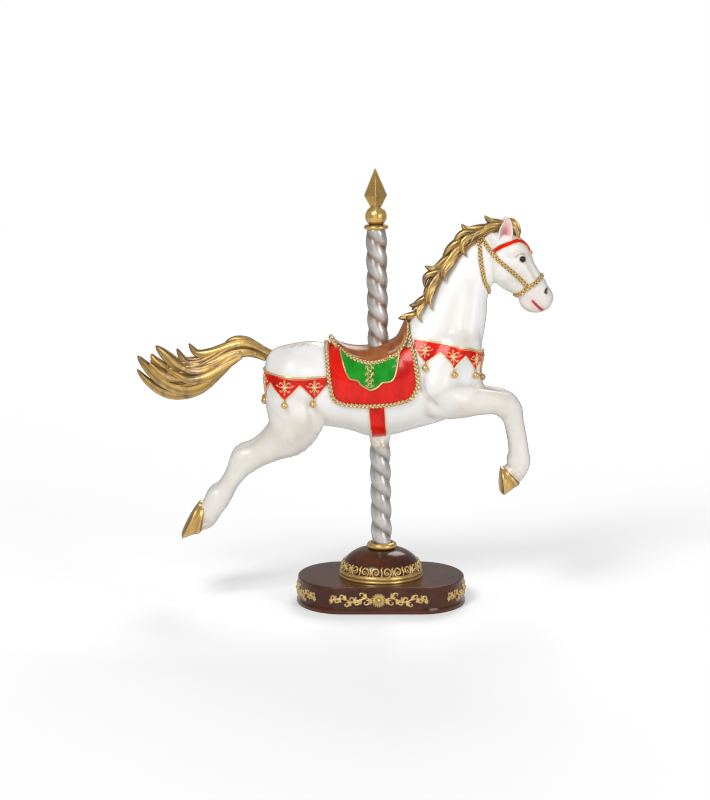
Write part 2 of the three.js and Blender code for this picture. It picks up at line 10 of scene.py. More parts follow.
import bmesh
import bpy
import numpy as np
import openvdb
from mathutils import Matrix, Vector
from mathutils.bvhtree import BVHTree


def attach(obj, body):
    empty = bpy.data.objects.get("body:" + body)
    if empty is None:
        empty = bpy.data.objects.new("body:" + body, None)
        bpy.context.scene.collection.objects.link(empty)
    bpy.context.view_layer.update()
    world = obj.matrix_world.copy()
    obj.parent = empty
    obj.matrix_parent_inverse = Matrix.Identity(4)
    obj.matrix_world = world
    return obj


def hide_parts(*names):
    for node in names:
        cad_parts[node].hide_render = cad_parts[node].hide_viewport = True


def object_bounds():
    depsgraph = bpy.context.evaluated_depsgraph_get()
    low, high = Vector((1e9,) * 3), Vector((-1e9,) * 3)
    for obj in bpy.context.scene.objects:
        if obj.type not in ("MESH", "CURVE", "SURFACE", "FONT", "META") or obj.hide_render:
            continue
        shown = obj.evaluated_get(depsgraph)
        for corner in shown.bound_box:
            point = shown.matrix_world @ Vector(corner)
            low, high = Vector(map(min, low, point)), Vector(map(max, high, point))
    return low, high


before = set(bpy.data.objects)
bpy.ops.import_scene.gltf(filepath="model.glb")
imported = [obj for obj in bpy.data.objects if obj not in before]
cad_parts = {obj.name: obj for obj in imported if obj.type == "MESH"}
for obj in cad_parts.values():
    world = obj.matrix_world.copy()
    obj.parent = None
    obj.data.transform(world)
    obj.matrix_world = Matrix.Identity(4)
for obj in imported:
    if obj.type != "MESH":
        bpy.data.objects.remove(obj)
cad_box = [list(corner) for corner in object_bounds()]

MM = 0.001

# ------------------------------------------------------------------ driving sizes, in millimetres

PLINTH = {"half_straight": 105, "end_reach": 124, "half_depth": 152, "height": 72.5, "flare": 3,
          "edge": 3}
DOME = {"base": 111, "top": 42, "foot": 72.8, "spring": 85, "crown": 147.5}
RIM = {"outer": 116, "height": 19}
FOOT_COLLAR = {"inner": 29.6, "outer": 40.5, "height": 17}
MAST = {"x": 2, "foot": 147.8, "lean": math.radians(1.1), "radius": 28, "waist": 23.5, "pitch": 106,
        "top": 880}
FINIAL = {"collar": 33, "collar_tube": 6, "ball": 29, "ball_height": 35, "waist": 92, "tip": 166,
          "corner": 31}
MOULDING = {"reach": 137, "middle": 38, "height": 20, "flower": 20}

COAT_PITCH = 3.7          # spacing of the body's mesh
HEAD_PITCH = 1.7          # spacing of the head's mesh
FAR = 40.0                # distances are measured up to here from a form
SIDE_REACH = 200.0        # rays at the horse's sides start this far from its middle plane
LATCH_FLOOR = 740         # the throat latch's plane parts the coat above this height
ABOVE, BELOW = 900.0, 300.0      # heights from which rays look down and up at the horse
PLATE_ROOT = 1.5          # how far cloths, flaps and straps reach into the coat
BAND_PROUD = 2.6
GIRTH_PROUD = 3.4
BLANKET_PROUD = 4.5
FLAP_PROUD = 7.5
BELL_RADIUS = 9.0
BRAID_WIDTH = 12.0
BODY_BOX = ((-530, -114, 206), (412, 114, 1016))
HEAD_BOX = ((256, -62, 792), (466, 62, 1018))
HEAD_OVERLAP = 2          # head and body each run on this far past the throat latch

# The horse's forms: each row is one cross-section, x, z, half height in the side plane, half width, and y of
# the centre on the near side where the form is off the middle plane.
TRUNK = [
    (-318, 626, 8, 10), (-311, 624, 60, 46), (-286, 615, 90, 74), (-240, 610, 107, 89),
    (-190, 610, 113, 92), (-140, 603, 112, 91), (-85, 593, 112, 90), (-30, 584, 120, 90),
    (25, 588, 121, 90), (75, 606, 126, 88), (125, 628, 134, 86), (175, 643, 133, 82),
    (218, 657, 122, 74), (246, 672, 102, 60), (264, 682, 72, 42), (272, 684, 10, 10),
]
NECK = [
    (118, 650, 112, 70), (150, 700, 110, 70), (180, 752, 99, 63), (203, 808, 84, 54),
    (220, 862, 70, 46), (245, 910, 62, 40), (279, 952, 56, 36), (308, 984, 42, 30),
    (322, 998, 12, 12),
]
HEAD = [
    (278, 1000, 28, 22), (299, 986, 48, 31), (320, 966, 64, 36), (340, 945, 66, 38),
    (362, 913, 57, 36), (384, 890, 46, 31), (404, 870, 39, 27), (422, 851, 37, 26),
    (436, 834, 34, 25), (447, 822, 24, 19), (453, 816, 6, 6),
]
CHIN = [
    (384, 854, 14, 16), (396, 834, 21, 21), (411, 822, 19, 21), (429, 816, 12, 16),
    (437, 815, 3, 5),
]
HIND_LEG = [
    (-232, 646, 60, 34, -42), (-230, 590, 80, 42, -46), (-230, 528, 77, 42, -50), (-254, 477, 65, 39, -54),
    (-296, 444, 42, 31, -55), (-340, 418, 33, 25, -55), (-375, 400, 37, 24, -54), (-396, 369, 27, 20, -53),
    (-414, 340, 23, 17, -52), (-430, 314, 26, 18, -52), (-447, 296, 32, 21, -51), (-464, 269, 29, 20, -51),
    (-480, 247, 30, 21, -51), (-496, 243, 34, 24, -51),
]
FORE_LEG = [
    (118, 606, 62, 32, -44), (165, 577, 58, 35, -51), (214, 567, 46, 32, -55), (268, 566, 35, 27, -57),
    (314, 562, 31, 24, -57), (345, 546, 34, 26, -57), (360, 508, 25, 19, -56), (370, 462, 24, 18, -55),
    (375, 426, 25, 19, -55), (376, 402, 28, 20, -55), (369, 378, 26, 19, -55), (353, 362, 28, 22, -55),
]
HIND_FAR_SHIFT = (-4, -12)     # how far the far foot is set from the near one, in x and z
FORE_FAR_SHIFT = (6, -17)
# Coronet and sole of a hoof: centre x and z, half vector from toe to heel, half width; then y.
HIND_HOOF = ((-490, 241, 8, 37, 27), (-522, 235, 23, 48, 34), -51)
FORE_HOOF = ((355, 361, -18, 23, 26), (330, 346, -4, 37, 32), -55)
# Rings down a hoof: share of the way from coronet to sole, size, and the glaze and painted shade there.
HOOF_RINGS = [
    (-0.12, 0.86, 0.9), (-0.08, 0.98, 0.7), (0.02, 1.06, 0.2), (0.12, 1.06, 0.1), (0.2, 1.0, 0.5),
    (0.4, 0.99, 0.15), (0.62, 0.99, 0), (0.84, 1.0, 0.1), (0.97, 1.01, 0.1), (1.02, 0.97, 0.15),
    (1.01, 0.92, 1.0), (1.1, 0.84, 0.5), (1.24, 0.6, 0.35), (1.3, 0.3, 0.3),
]
EAR_RUN = [(331, -24, 988), (332, -29, 1010), (334, -33, 1034), (336, -35, 1050), (337, -36, 1062)]

# Muscles and bones that swell the coat: start, end, radius at each, blend; mirrored on the far side.
SWELLS = [
    ((200, -56, 712), (150, -66, 612), 30, 42, 26),      # shoulder
    ((150, -66, 606), (196, -62, 572), 34, 30, 22),      # upper arm
    ((-236, -56, 650), (-262, -62, 560), 46, 40, 30),    # haunch
    ((-206, -62, 540), (-250, -66, 486), 36, 34, 22),    # stifle
    ((-378, -55, 414), (-398, -55, 398), 12, 9, 10),     # point of the hock
    ((326, -62, 564), (342, -61, 548), 17, 17, 12),      # knee
    ((-452, -51, 306), (-462, -51, 296), 16, 14, 8),     # hind fetlock
    ((360, -56, 404), (362, -56, 392), 14, 13, 8),       # fore fetlock
    ((236, -24, 640), (262, -20, 600), 22, 18, 16),      # breast
]
HOLLOWS = [
    ((104, -92, 668), (106, -91, 606), 5, 5, 14),        # behind the shoulder
    ((106, -90, 606), (136, -84, 566), 5, 6, 14),        # above the elbow
    ((-190, -98, 560), (-170, -90, 500), 10, 12, 22),    # flank
    ((-366, -80, 410), (-432, -71, 322), 3, 3, 9),       # tendon of the hind leg
    ((352, -80, 500), (358, -78, 424), 3, 3, 9),         # tendon of the foreleg
    ((286, -88, 548), (338, -88, 552), 3, 3, 10),        # forearm
    ((206, -62, 884), (176, -68, 762), 5, 6, 20),        # neck muscles
    ((238, -52, 884), (230, -62, 770), 5, 6, 20),
]
HEAD_SWELLS = [
    ((328, -18, 944), (336, -18, 908), 25, 21, 16),      # cheek
    ((384, -21, 924), (412, -17, 884), 7, 5, 14),        # facial crest
    ((366, -28, 962), (388, -23, 958), 6, 5, 9),         # brow
    ((366, -31, 954), (378, -31, 960), 2.4, 2.6, 4),     # upper lid
    ((378, -31, 960), (391, -27, 952), 2.6, 2.2, 4),
    ((368, -31, 946), (381, -31, 940), 2.0, 2.2, 4),     # lower lid
    ((381, -31, 940), (391, -28, 946), 2.2, 2.0, 4),
    ((442, -16, 868), (439, -18, 858), 8, 8, 9),         # nostril wing
    ((388, -6, 948), (432, -5, 884), 9, 8, 12),          # bridge of the nose
]
HEAD_HOLLOWS = [
    ((360, -42, 978), (352, -44, 966), 8, 6, 12),        # temple
    ((398, -32, 946), (420, -27, 902), 5, 5, 12),        # beside the nose
    ((379, -33, 950), (380, -34, 949), 8.2, 8.2, 3),     # eye socket
    ((449, -27, 868), (446, -25, 863), 4.4, 4.8, 4),     # nostril
    ((350, -43, 884), (392, -30, 866), 5, 4, 14),        # jaw
]
MOUTH = [(407, -25, 836), (424, -23, 819), (437, -13, 809), (441, 0, 806)]
EYE = (379, -25.0, 950)
EYE_RADIUS = 8.4
# The nostril's pit and the lid's crease below are painted near black as shade.
NOSTRIL = ((447, -25, 869), (444, -25, 861), 1.6, 2.2)
LID_LINE = [(359, 0, 956), (366, 0, 962), (376, 0, 965), (386, 0, 961)]
# Where gilding has strayed on to the white: start, end, radius at each.
HOOF_WEAR = [
    ((-490, -51, 239), (-476, -51, 252), 26, 12), ((-494, -51, 227), (-480, -51, 240), 26, 12),
    ((352, -55, 358), (360, -55, 376), 22, 10), ((361, -55, 341), (368, -55, 359), 22, 10),
]
RUMP_WEAR = ((-262, -20, 716), (-176, -20, 726), 6, 8)

TAIL = [
    (-292, 678, 20, 18), (-322, 692, 20, 18), (-352, 703, 25, 20), (-386, 704, 29, 22),
    (-418, 694, 32, 25), (-448, 671, 38, 29), (-488, 643, 50, 32), (-535, 630, 57, 33),
    (-578, 624, 50, 30), (-610, 626, 34, 22), (-628, 630, 12, 9),
]
# Locks of hair: points on the run (x, z), root half width, and y at the root and at the tip.
TAIL_LOCKS = [
    ([(-332, 710), (-364, 726), (-395, 730), (-424, 722)], 9, (-8, -6)),
    ([(-304, 688), (-338, 708), (-376, 718), (-420, 706), (-464, 692), (-502, 691), (-524, 717)],
     15, (-13, -5)),
    ([(-316, 677), (-357, 694), (-395, 691), (-433, 676), (-485, 658), (-533, 668), (-557, 703)],
     14, (-22, -8)),
    ([(-420, 680), (-489, 640), (-545, 650), (-586, 684), (-614, 711)], 19, (-26, -6)),
    ([(-577, 646), (-602, 662), (-618, 674), (-627, 688)], 9, (-20, -8)),
    ([(-380, 684), (-430, 655), (-471, 632), (-520, 622), (-560, 641), (-588, 655)], 12, (-30, -41)),
    ([(-380, 697), (-436, 652), (-490, 606), (-545, 596), (-600, 619), (-640, 655), (-664, 683)],
     20, (-24, -8)),
    ([(-384, 692), (-440, 640), (-500, 592), (-558, 578), (-603, 589), (-640, 616), (-666, 646)],
     15, (-14, -5)),
    ([(-540, 622), (-575, 628), (-606, 644), (-632, 668)], 11, (-36, -24)),
    ([(-340, 694), (-400, 684), (-450, 650), (-500, 618), (-548, 604)], 9, (-27, -33)),
]
MANE = [
    (64, 774, 7, 9), (90, 792, 11, 15), (112, 812, 12, 18), (131, 842, 13, 21),
    (143, 876, 14, 23), (163, 908, 15, 24), (190, 943, 15, 24), (220, 974, 15, 24),
    (254, 1004, 16, 23), (292, 1028, 14, 21), (325, 1038, 12, 18), (350, 1031, 9, 14),
    (366, 1012, 5, 7),
]
# Fat pointed leaves that stand off the crest.
MANE_LEAVES = [
    ([(336, 1045), (311, 1047), (292, 1051), (276, 1065)], 10, (-4, 0)),
    ([(318, 1030), (292, 1031), (264, 1029), (238, 1026), (224, 1031), (215, 1043)], 14, (-6, 0)),
    ([(226, 986), (204, 972), (178, 950), (152, 925), (137, 920), (117, 929)], 13, (-8, 0)),
    ([(142, 862), (122, 844), (104, 832), (90, 823), (75, 822)], 11, (-6, 0)),
    ([(112, 812), (92, 798), (70, 792), (46, 786)], 10, (-6, -2)),
]
# Bunches that lie along the crest on either side, and the hooked tips that fall on the neck.
MANE_BUNCHES = [
    ([(262, 1012), (236, 1018), (212, 1006), (196, 984)], 11, (-12, -12)),
    ([(238, 994), (210, 990), (186, 972), (168, 948)], 12, (-14, -14)),
    ([(186, 920), (150, 908), (122, 894), (118, 868)], 12, (-12, -12)),
    ([(160, 892), (140, 878), (124, 856), (120, 830)], 10, (-14, -14)),
    ([(136, 846), (118, 826), (102, 812), (84, 806)], 9, (-12, -12)),
    ([(276, 1016), (244, 1010), (222, 994), (218, 972), (229, 953)], 12, (-20, -38)),
    ([(240, 996), (206, 974), (184, 944), (165, 918), (163, 892)], 12, (-20, -44)),
    ([(182, 930), (156, 904), (136, 876), (124, 846), (122, 822)], 10, (-24, -48)),
    ([(130, 842), (114, 824), (102, 806), (100, 792), (110, 778)], 9, (-22, -50)),
    ([(300, 1034), (276, 1024), (252, 1008), (240, 990)], 10, (-18, -32)),
    ([(330, 1040), (306, 1038), (284, 1030), (266, 1016)], 10, (-14, -26)),
    ([(206, 958), (188, 934), (172, 910), (170, 886)], 9, (-28, -44)),
    ([(154, 896), (140, 866), (132, 836), (138, 808)], 8, (-28, -52)),
]
FORELOCK = [
    ([(322, 1042), (342, 1050), (358, 1044), (368, 1028), (371, 1010)], 11, (0, 0)),
    ([(320, 1040), (340, 1042), (356, 1034), (366, 1016), (368, 996)], 9, (-10, -8)),
    ([(320, 1040), (340, 1042), (356, 1034), (366, 1016), (370, 994)], 9, (10, 8)),
]

# Harness lines in the side plane, x and z.
BLANKET_REAR = [(-30, 560), (-83, 563), (-105, 566), (-121, 573), (-132, 585), (-137, 604), (-142, 630),
                (-145, 657), (-150, 711), (-154, 745)]
BLANKET_FRONT = [(-30, 560), (24, 564), (51, 570), (73, 577), (86, 590), (93, 609), (94, 636), (89, 690),
                 (83, 711), (77, 738), (73, 765)]
FLAP_REAR = [(-30, 603), (-40, 607), (-57, 617), (-65, 627), (-83, 630), (-91, 637), (-100, 655), (-108, 679),
             (-116, 706)]
FLAP_FRONT = [(-30, 603), (-16, 607), (-3, 617), (2, 622), (24, 625), (35, 637), (43, 663), (48, 685),
              (51, 701)]
SEAT_EDGE = [(-137, 735), (-126, 717), (-110, 706), (-97, 695), (-78, 686), (-57, 678), (-30, 674), (-3, 678),
             (19, 686), (38, 694), (51, 709), (64, 728), (71, 750), (73, 772), (68, 788)]
SEAT_TOP = [(-137, 736), (-124, 728), (-110, 721), (-84, 714), (-56, 712), (-24, 715), (10, 722), (39, 736),
            (52, 758), (60, 776), (68, 790)]
BLANKET_HEIGHTS = (559.5, 712)   # from the bottom edge to where the blanket turns in over the back
FLAP_HEIGHTS = (602.5, 700)      # from the bottom edge to under the saddle
WITHERS = 20              # x where the blanket's front edge crosses the back, under the saddle
BREECH_TOP = [(-340, 651), (-317, 649), (-298, 645), (-271, 641), (-218, 637), (-151, 638), (-120, 639)]
BREECH_TEETH = [(-150, 20), (-182, 60), (-220, 20), (-259, 63), (-294, 24), (-313, 68)]     # x and drop
CHEST_TOP = [(60, 740), (80, 737), (131, 732), (171, 725), (212, 717), (239, 712), (267, 701), (290, 696)]
CHEST_TEETH = [(80, 22), (114, 58), (149, 24), (181, 62), (225, 20), (253, 56), (262, 26)]
CHEST_FRONT_DROP = 62
GIRTH = {"top": (-36, 7), "bottom": (-27, 13), "from": 566, "turn": 492, "to": 462}
CHEEK_STRAP = [(268, 1007), (284, 983), (298, 965), (319, 943), (347, 919), (374, 895), (393, 876)]
THROAT_LATCH = [(262, 1012), (264, 975), (266, 943), (271, 916), (277, 889), (287, 871)]
NOSEBAND = [(362, 849), (378, 858), (394, 872), (412, 883), (431, 902)]
BROWBAND = [(301, 972), (319, 983), (346, 993), (365, 999), (376, 996), (387, 988), (395, 977), (400, 965)]


# ------------------------------------------------------------------ curves

def smooth_rows(rows, parts):
    """A table of rows made finer by Catmull-Rom, with `parts` rows for each span."""
    rows = np.array(rows, float)
    last = len(rows) - 1
    share = (np.arange(parts) / parts)[:, None]
    fine = []
    for i in range(last):
        a, b, c, d = rows[max(i - 1, 0)], rows[i], rows[i + 1], rows[min(i + 2, last)]
        fine.append(0.5 * (2 * b + (c - a) * share + (2 * a - 5 * b + 4 * c - d) * share ** 2
                           + (3 * b - a - 3 * c + d) * share ** 3))
    fine.append(rows[-1:])
    return np.concatenate(fine)


def run_along(rows):
    """How far along a line of points each point lies."""
    return np.concatenate([[0], np.cumsum(np.linalg.norm(np.diff(rows, axis=0), axis=1))])


def even_rows(rows, count):
    """The same run of points at even distances along it."""
    rows = np.asarray(rows, float)
    run = run_along(rows)
    at = np.linspace(0, run[-1], count)
    return np.stack([np.interp(at, run, column) for column in rows.T], axis=1)


def length_of(rows):
    """The length of a line of points."""
    return float(np.linalg.norm(np.diff(np.asarray(rows, float), axis=0), axis=1).sum())


def unit(vectors):
    """The same directions, each one unit long."""
    return vectors / np.maximum(np.linalg.norm(vectors, axis=-1, keepdims=True), 1e-9)


def fade(distance, reach):
    """1 at no distance, falling evenly to 0 at `reach`."""
    return np.clip(1 - distance / reach, 0, 1)


def soften(rows, passes):
    """Rows averaged with their neighbours, ends kept."""
    rows = rows.copy()
    for _ in range(passes):
        rows[1:-1] = (rows[:-2] + 2 * rows[1:-1] + rows[2:]) / 4
    return rows


def volute(size, bend, curl, count=40):
    """A flat C-scroll: an arc that curls up at both ends, `size` long over all."""
    share = np.linspace(-1, 1, count)
    heading = np.cumsum(bend + curl * np.abs(share) ** 1.5) * 2 / count
    line = np.cumsum(np.stack([np.cos(heading), np.sin(heading)], 1), axis=0)
    across = line[count * 3 // 4] - line[count // 4]
    turn = -math.atan2(across[1], across[0])
    line = line @ np.array([[math.cos(turn), math.sin(turn)], [-math.sin(turn), math.cos(turn)]])
    line -= (line.min(axis=0) + line.max(axis=0)) / 2
    return line * size / np.ptp(line[:, 0])


# ------------------------------------------------------------------ distances to the horse's forms

class Form:
    """A form lofted along its table of cross-sections, which stand square to its centre line, or upright."""

    def __init__(self, rows, upright=False, mirror=False, shift=(0, 0)):
        rows = np.array([(*row, 0)[:5] for row in rows], float)
        share = np.linspace(0, 1, len(rows))
        rows[:, 0] += shift[0] * share
        rows[:, 1] += shift[1] * share
        if mirror:
            rows[:, 4] *= -1
        self.rows = smooth_rows(rows, 4)
        self.rows[:, 2:4] = np.maximum(self.rows[:, 2:4], 1.0)
        self.along = unit(np.gradient(self.rows[:, :2], axis=0))
        self.upright = upright
        x, z, high, wide, y = self.rows.T
        self.low = np.array([(x - high).min(), (y - wide).min(), (z - high).min()]) - FAR
        self.high = np.array([(x + high).max(), (y + wide).max(), (z + high).max()]) + FAR

    def station(self, x, z):
        """The nearest place on the centre line, as a row number with its fraction."""
        if self.upright:
            return np.interp(x, self.rows[:, 0], np.arange(len(self.rows)))
        best = np.full(len(x), np.inf)
        station = np.zeros(len(x))
        for i in range(len(self.rows) - 1):
            (ax, az), (bx, bz) = self.rows[i, :2], self.rows[i + 1, :2]
            dx, dz = bx - ax, bz - az
            share = np.clip(((x - ax) * dx + (z - az) * dz) / max(dx * dx + dz * dz, 1e-9), 0, 1)
            off = (x - ax - share * dx) ** 2 + (z - az - share * dz) ** 2
            nearer = off < best
            best[nearer] = off[nearer]
            station[nearer] = i + share[nearer]
        return station

    def distance(self, points):
        """How far each point is outside the form, up to FAR; less than nought inside it."""
        inside = np.all((points > self.low) & (points < self.high), axis=1)
        result = np.full(len(points), FAR)
        if not inside.any():
            return result
        x, y, z = points[inside].T
        station = self.station(x, z)
        number = np.arange(len(self.rows))
        cx, cz, high, wide, cy = (np.interp(station, number, column) for column in self.rows.T)
        out = y - cy
        if self.upright:
            up = z - cz
            ahead = np.maximum(self.rows[0, 0] - x, 0) + np.maximum(x - self.rows[-1, 0], 0)
        else:
            tx, tz = (np.interp(station, number, column) for column in self.along.T)
            up = (z - cz) * tx - (x - cx) * tz
            at_end = (station <= 0) | (station >= len(self.rows) - 1)
            ahead = np.where(at_end, np.abs((x - cx) * tx + (z - cz) * tz), 0)
        share = np.maximum(np.sqrt((up / high) ** 2 + (out / wide) ** 2), 1e-6)
        radius = np.where(share > 0.02, np.sqrt(up ** 2 + out ** 2) / share, np.minimum(high, wide))
        side = (share - 1) * radius
        result[inside] = np.minimum(np.where(ahead > 0, np.hypot(np.maximum(side, 0), ahead), side), FAR)
        return result


def capsule(points, start, end, first, last):
    """The distance to a bone-like shape between two points, with a radius at each."""
    start, end = np.array(start, float), np.array(end, float)
    low = np.minimum(start, end) - max(first, last) - FAR
    high = np.maximum(start, end) + max(first, last) + FAR
    near = np.all((points > low) & (points < high), axis=1)
    result = np.full(len(points), FAR)
    run = end - start
    share = np.clip((points[near] - start) @ run / max(run @ run, 1e-9), 0, 1)
    off = np.linalg.norm(points[near] - start - share[:, None] * run, axis=1)
    result[near] = np.minimum(off - first - (last - first) * share, FAR)
    return result


def mirrored(shape):
    """A swell or a hollow on the far side, lower on the legs as the far legs are."""
    start, end, *rest = shape

    def across(point):
        """A point on the far side, moved the more the nearer it is to a far hoof."""
        x, y, z = point
        if z < 560 and x < -200:
            share = min((560 - z) / 320, 1)
            return (x + HIND_FAR_SHIFT[0] * share, -y, z + HIND_FAR_SHIFT[1] * share)
        if z < 560 and x > 280:
            share = min((580 - z) / 220, 1)
            return (x + FORE_FAR_SHIFT[0] * share, -y, z + FORE_FAR_SHIFT[1] * share)
        return (x, -y, z)

    return (across(start), across(end), *rest)


def both_sides(shapes):
    """The shapes of the near side and their mirror images."""
    return [*shapes, *(mirrored(shape) for shape in shapes)]


def blend(a, b, soft):
    """Two distances joined with a soft fillet, and how deep in the fillet each point is."""
    near = fade(np.abs(a - b), soft)
    return np.minimum(a, b) - near * near * soft / 4, near


COAT_FORMS = [(Form(NECK), 30)] + [
    (Form(rows, mirror=far, shift=shift if far else (0, 0)), soft)
    for rows, shift, soft in ((HIND_LEG, HIND_FAR_SHIFT, 16), (FORE_LEG, FORE_FAR_SHIFT, 14))
    for far in (False, True)
]
TRUNK_FORM = Form(TRUNK, upright=True)
HEAD_FORM, CHIN_FORM = Form(HEAD), Form(CHIN)


def skin(points, with_creases=False):
    """The distance to the horse's white coat, head and all, and how deep in a crease each point is."""
    distance = TRUNK_FORM.distance(points)
    crease = np.zeros(len(points))
    for form, soft in COAT_FORMS:
        distance, near = blend(distance, form.distance(points), soft)
        crease = np.maximum(crease, near)
    for start, end, first, last, soft in both_sides(SWELLS):
        distance, _ = blend(distance, capsule(points, start, end, first, last), soft)
    head, _ = blend(HEAD_FORM.distance(points), CHIN_FORM.distance(points), 7)
    for start, end, first, last, soft in both_sides(HEAD_SWELLS):
        head, _ = blend(head, capsule(points, start, end, first, last), soft)
    distance, near = blend(distance, head, 14)
    crease = np.maximum(crease, near)
    mouth = [(MOUTH[i], MOUTH[i + 1], 2.0, 2.0, 3) for i in range(len(MOUTH) - 1)]
    for start, end, first, last, soft in both_sides([*HOLLOWS, *HEAD_HOLLOWS, *mouth]):
        carved, near = blend(-distance, capsule(points, start, end, first, last), soft)
        distance = -carved
        crease = np.maximum(crease, near * 0.8)
    return (distance, crease) if with_creases else distance


def downhill(points, field, step=0.6):
    """The direction in which a distance grows fastest."""
    slope = np.empty_like(points)
    for axis in range(3):
        aside = np.zeros(3)
        aside[axis] = step
        slope[:, axis] = (field(points + aside) - field(points - aside)) / (2 * step)
    return slope


def surface(field, low, high, pitch):
    """The closed surface where a distance is nought, as points and quads."""
    low, high = np.array(low, float), np.array(high, float)
    counts = np.ceil((high - low) / pitch).astype(int) + 1
    axes = [low[i] + pitch * np.arange(counts[i]) for i in range(3)]
    lattice = np.stack(np.meshgrid(*axes, indexing="ij"), -1).reshape(-1, 3)
    grid = openvdb.FloatGrid(FAR)
    grid.copyFromArray(field(lattice).reshape(counts).astype(np.float32))
    points, quads = grid.convertToQuads(isovalue=0.0)
    points = low + points.astype(float) * pitch
    for _ in range(2):
        slope = downhill(points, field)
        steep = np.maximum((slope ** 2).sum(1), 0.2)
        move = -(field(points) / steep)[:, None] * slope
        points += np.clip(move, -pitch / 2, pitch / 2)
    return points, quads


# ------------------------------------------------------------------ pieces

class Relief:
    """Points, faces and point values gathered for one piece, in millimetres."""

    def __init__(self):
        self.points, self.faces, self.values = [], [], {}
        self.count = 0

    def add(self, points, faces, **values):
        """Points, faces that count from the first of them, and values; a value that isn't given is 0."""
        points = np.asarray(points, float).reshape(-1, 3)
        self.points.append(points)
        self.faces.extend((np.asarray(face) + self.count).tolist() for face in faces)
        for name in sorted({*self.values, *values}):
            column = np.broadcast_to(np.ravel(values.get(name, 0.0)), len(points))
            self.values.setdefault(name, [np.zeros(self.count)]).append(column)
        self.count += len(points)

    def rings(self, rings, **values):
        """A closed body through rings of points (rows, sides, 3), with a cap at both ends."""
        rows, sides = rings.shape[:2]
        index = np.arange(rows * sides).reshape(rows, sides)
        after = np.roll(index, -1, axis=1)
        quads = np.stack([index[:-1], after[:-1], after[1:], index[1:]], -1).reshape(-1, 4)
        centres = np.stack([rings[0].mean(0), rings[-1].mean(0)])
        fans = [[rows * sides, after[0, s], index[0, s]] for s in range(sides)]
        fans += [[rows * sides + 1, index[-1, s], after[-1, s]] for s in range(sides)]
        spread = {}
        for name, value in values.items():
            value = np.broadcast_to(np.asarray(value, float), (rows, sides))
            spread[name] = np.concatenate([value.reshape(-1), [value[0].mean(), value[-1].mean()]])
        self.add(np.concatenate([rings.reshape(-1, 3), centres]), [*quads, *fans], **spread)

    def sheet(self, top, under):
        """A closed plate between two grids of points (rows, columns, 3)."""
        rows, columns = top.shape[:2]
        size = rows * columns
        index = np.arange(size).reshape(rows, columns)
        quads = np.stack([index[:-1, :-1], index[:-1, 1:], index[1:, 1:], index[1:, :-1]], -1).reshape(-1, 4)
        rim = np.concatenate([index[0, :-1], index[:-1, -1], index[-1, :0:-1], index[:0:-1, 0]])
        onward = np.roll(rim, -1)
        walls = np.stack([rim, rim + size, onward + size, onward], -1)
        self.add(np.concatenate([top.reshape(-1, 3), under.reshape(-1, 3)]),
                 [*quads, *(quads[:, ::-1] + size), *walls])

    def piece(self, name, material, slot="antique_gold", replaces=()):
        """The object made of all that was gathered."""
        values = {key: np.concatenate(columns) for key, columns in self.values.items()}
        make_piece(name, np.concatenate(self.points), self.faces, material, replaces, values)


def make_piece(name, points, faces, material, replaces, values):
    """One object on the part's body, from points in millimetres, kept within the box of the solids."""
    mesh = bpy.data.meshes.new(name)
    mesh.from_pydata(np.clip(points * MM, *np.array(cad_box)).tolist(), [], faces)
    for key, value in values.items():
        mesh.attributes.new(key, "FLOAT", "POINT").data.foreach_set("value", value.astype(np.float32))
    work = bmesh.new()
    work.from_mesh(mesh)
    bmesh.ops.recalc_face_normals(work, faces=work.faces)
    work.to_mesh(mesh)
    work.free()
    mesh.shade_smooth()
    mesh.materials.append(material)
    piece = bpy.data.objects.new(name, mesh)
    bpy.context.scene.collection.objects.link(piece)
    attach(piece, "root")
    if replaces:
        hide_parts(*replaces)


def section(path, outward, wide, deep, sides=8, lobes=0, groove=0.0, twist=0.0, flat=1.0):
    """Rings of a flattened, ridged section carried along a path, and how deep in a groove each point is."""
    rows = len(path)
    along = unit(np.gradient(path, axis=0))
    across = unit(np.cross(along, outward))
    up = np.cross(across, along)
    angle = 2 * np.pi * (np.arange(sides) + 0.5) / sides
    wide = np.broadcast_to(wide, rows)[:, None]
    deep = np.broadcast_to(deep, rows)[:, None]
    swirl = np.linspace(0, twist, rows)[:, None]
    dip = np.abs(np.sin(lobes * (angle[None] + swirl) / 2)) ** 0.7 if lobes else np.ones((rows, sides))
    reach = 1 - groove * (1 - dip)
    out = np.sign(np.sin(angle)) * np.abs(np.sin(angle)) ** flat
    rings = (path[:, None] + across[:, None] * (wide * reach * np.cos(angle))[..., None]
             + up[:, None] * (deep * reach * out)[..., None])
    return rings, 1 - dip


def tube(relief, path, outward, radius, sides=8, **values):
    """A round rod along a path."""
    rings, _ = section(path, outward, radius, radius, sides)
    relief.rings(rings, **values)


def braid(relief, path, outward, width, wave=24.0):
    """Three strands plaited along a path, `width` across, on a bed painted dark as shade between the strands.
    """
    rows = max(int(length_of(path) / 1.6), 8)
    both = even_rows(np.column_stack([path, outward * MM]), rows)
    path, outward = both[:, :3], unit(both[:, 3:])
    run = run_along(path)
    across = unit(np.cross(unit(np.gradient(path, axis=0)), outward))
    bed, _ = section(path, outward, width * 0.46, width * 0.14, 8)
    relief.rings(bed, recess=1.0)
    for strand in range(3):
        phase = 2 * np.pi * (run / wave + strand / 3)
        line = (path + across * (width * 0.32 * np.sin(phase))[:, None]
                + outward * (width * (0.1 + 0.14 * np.sin(2 * phase)))[:, None])
        rings, _ = section(line, outward, width * 0.19, width * 0.17, 7)
        height = np.broadcast_to(np.sin(2 * phase)[:, None], rings.shape[:2])
        # painted shade: each strand darker where it dips under the others
        relief.rings(rings, recess=np.clip(0.42 - 0.9 * height, 0, 1))


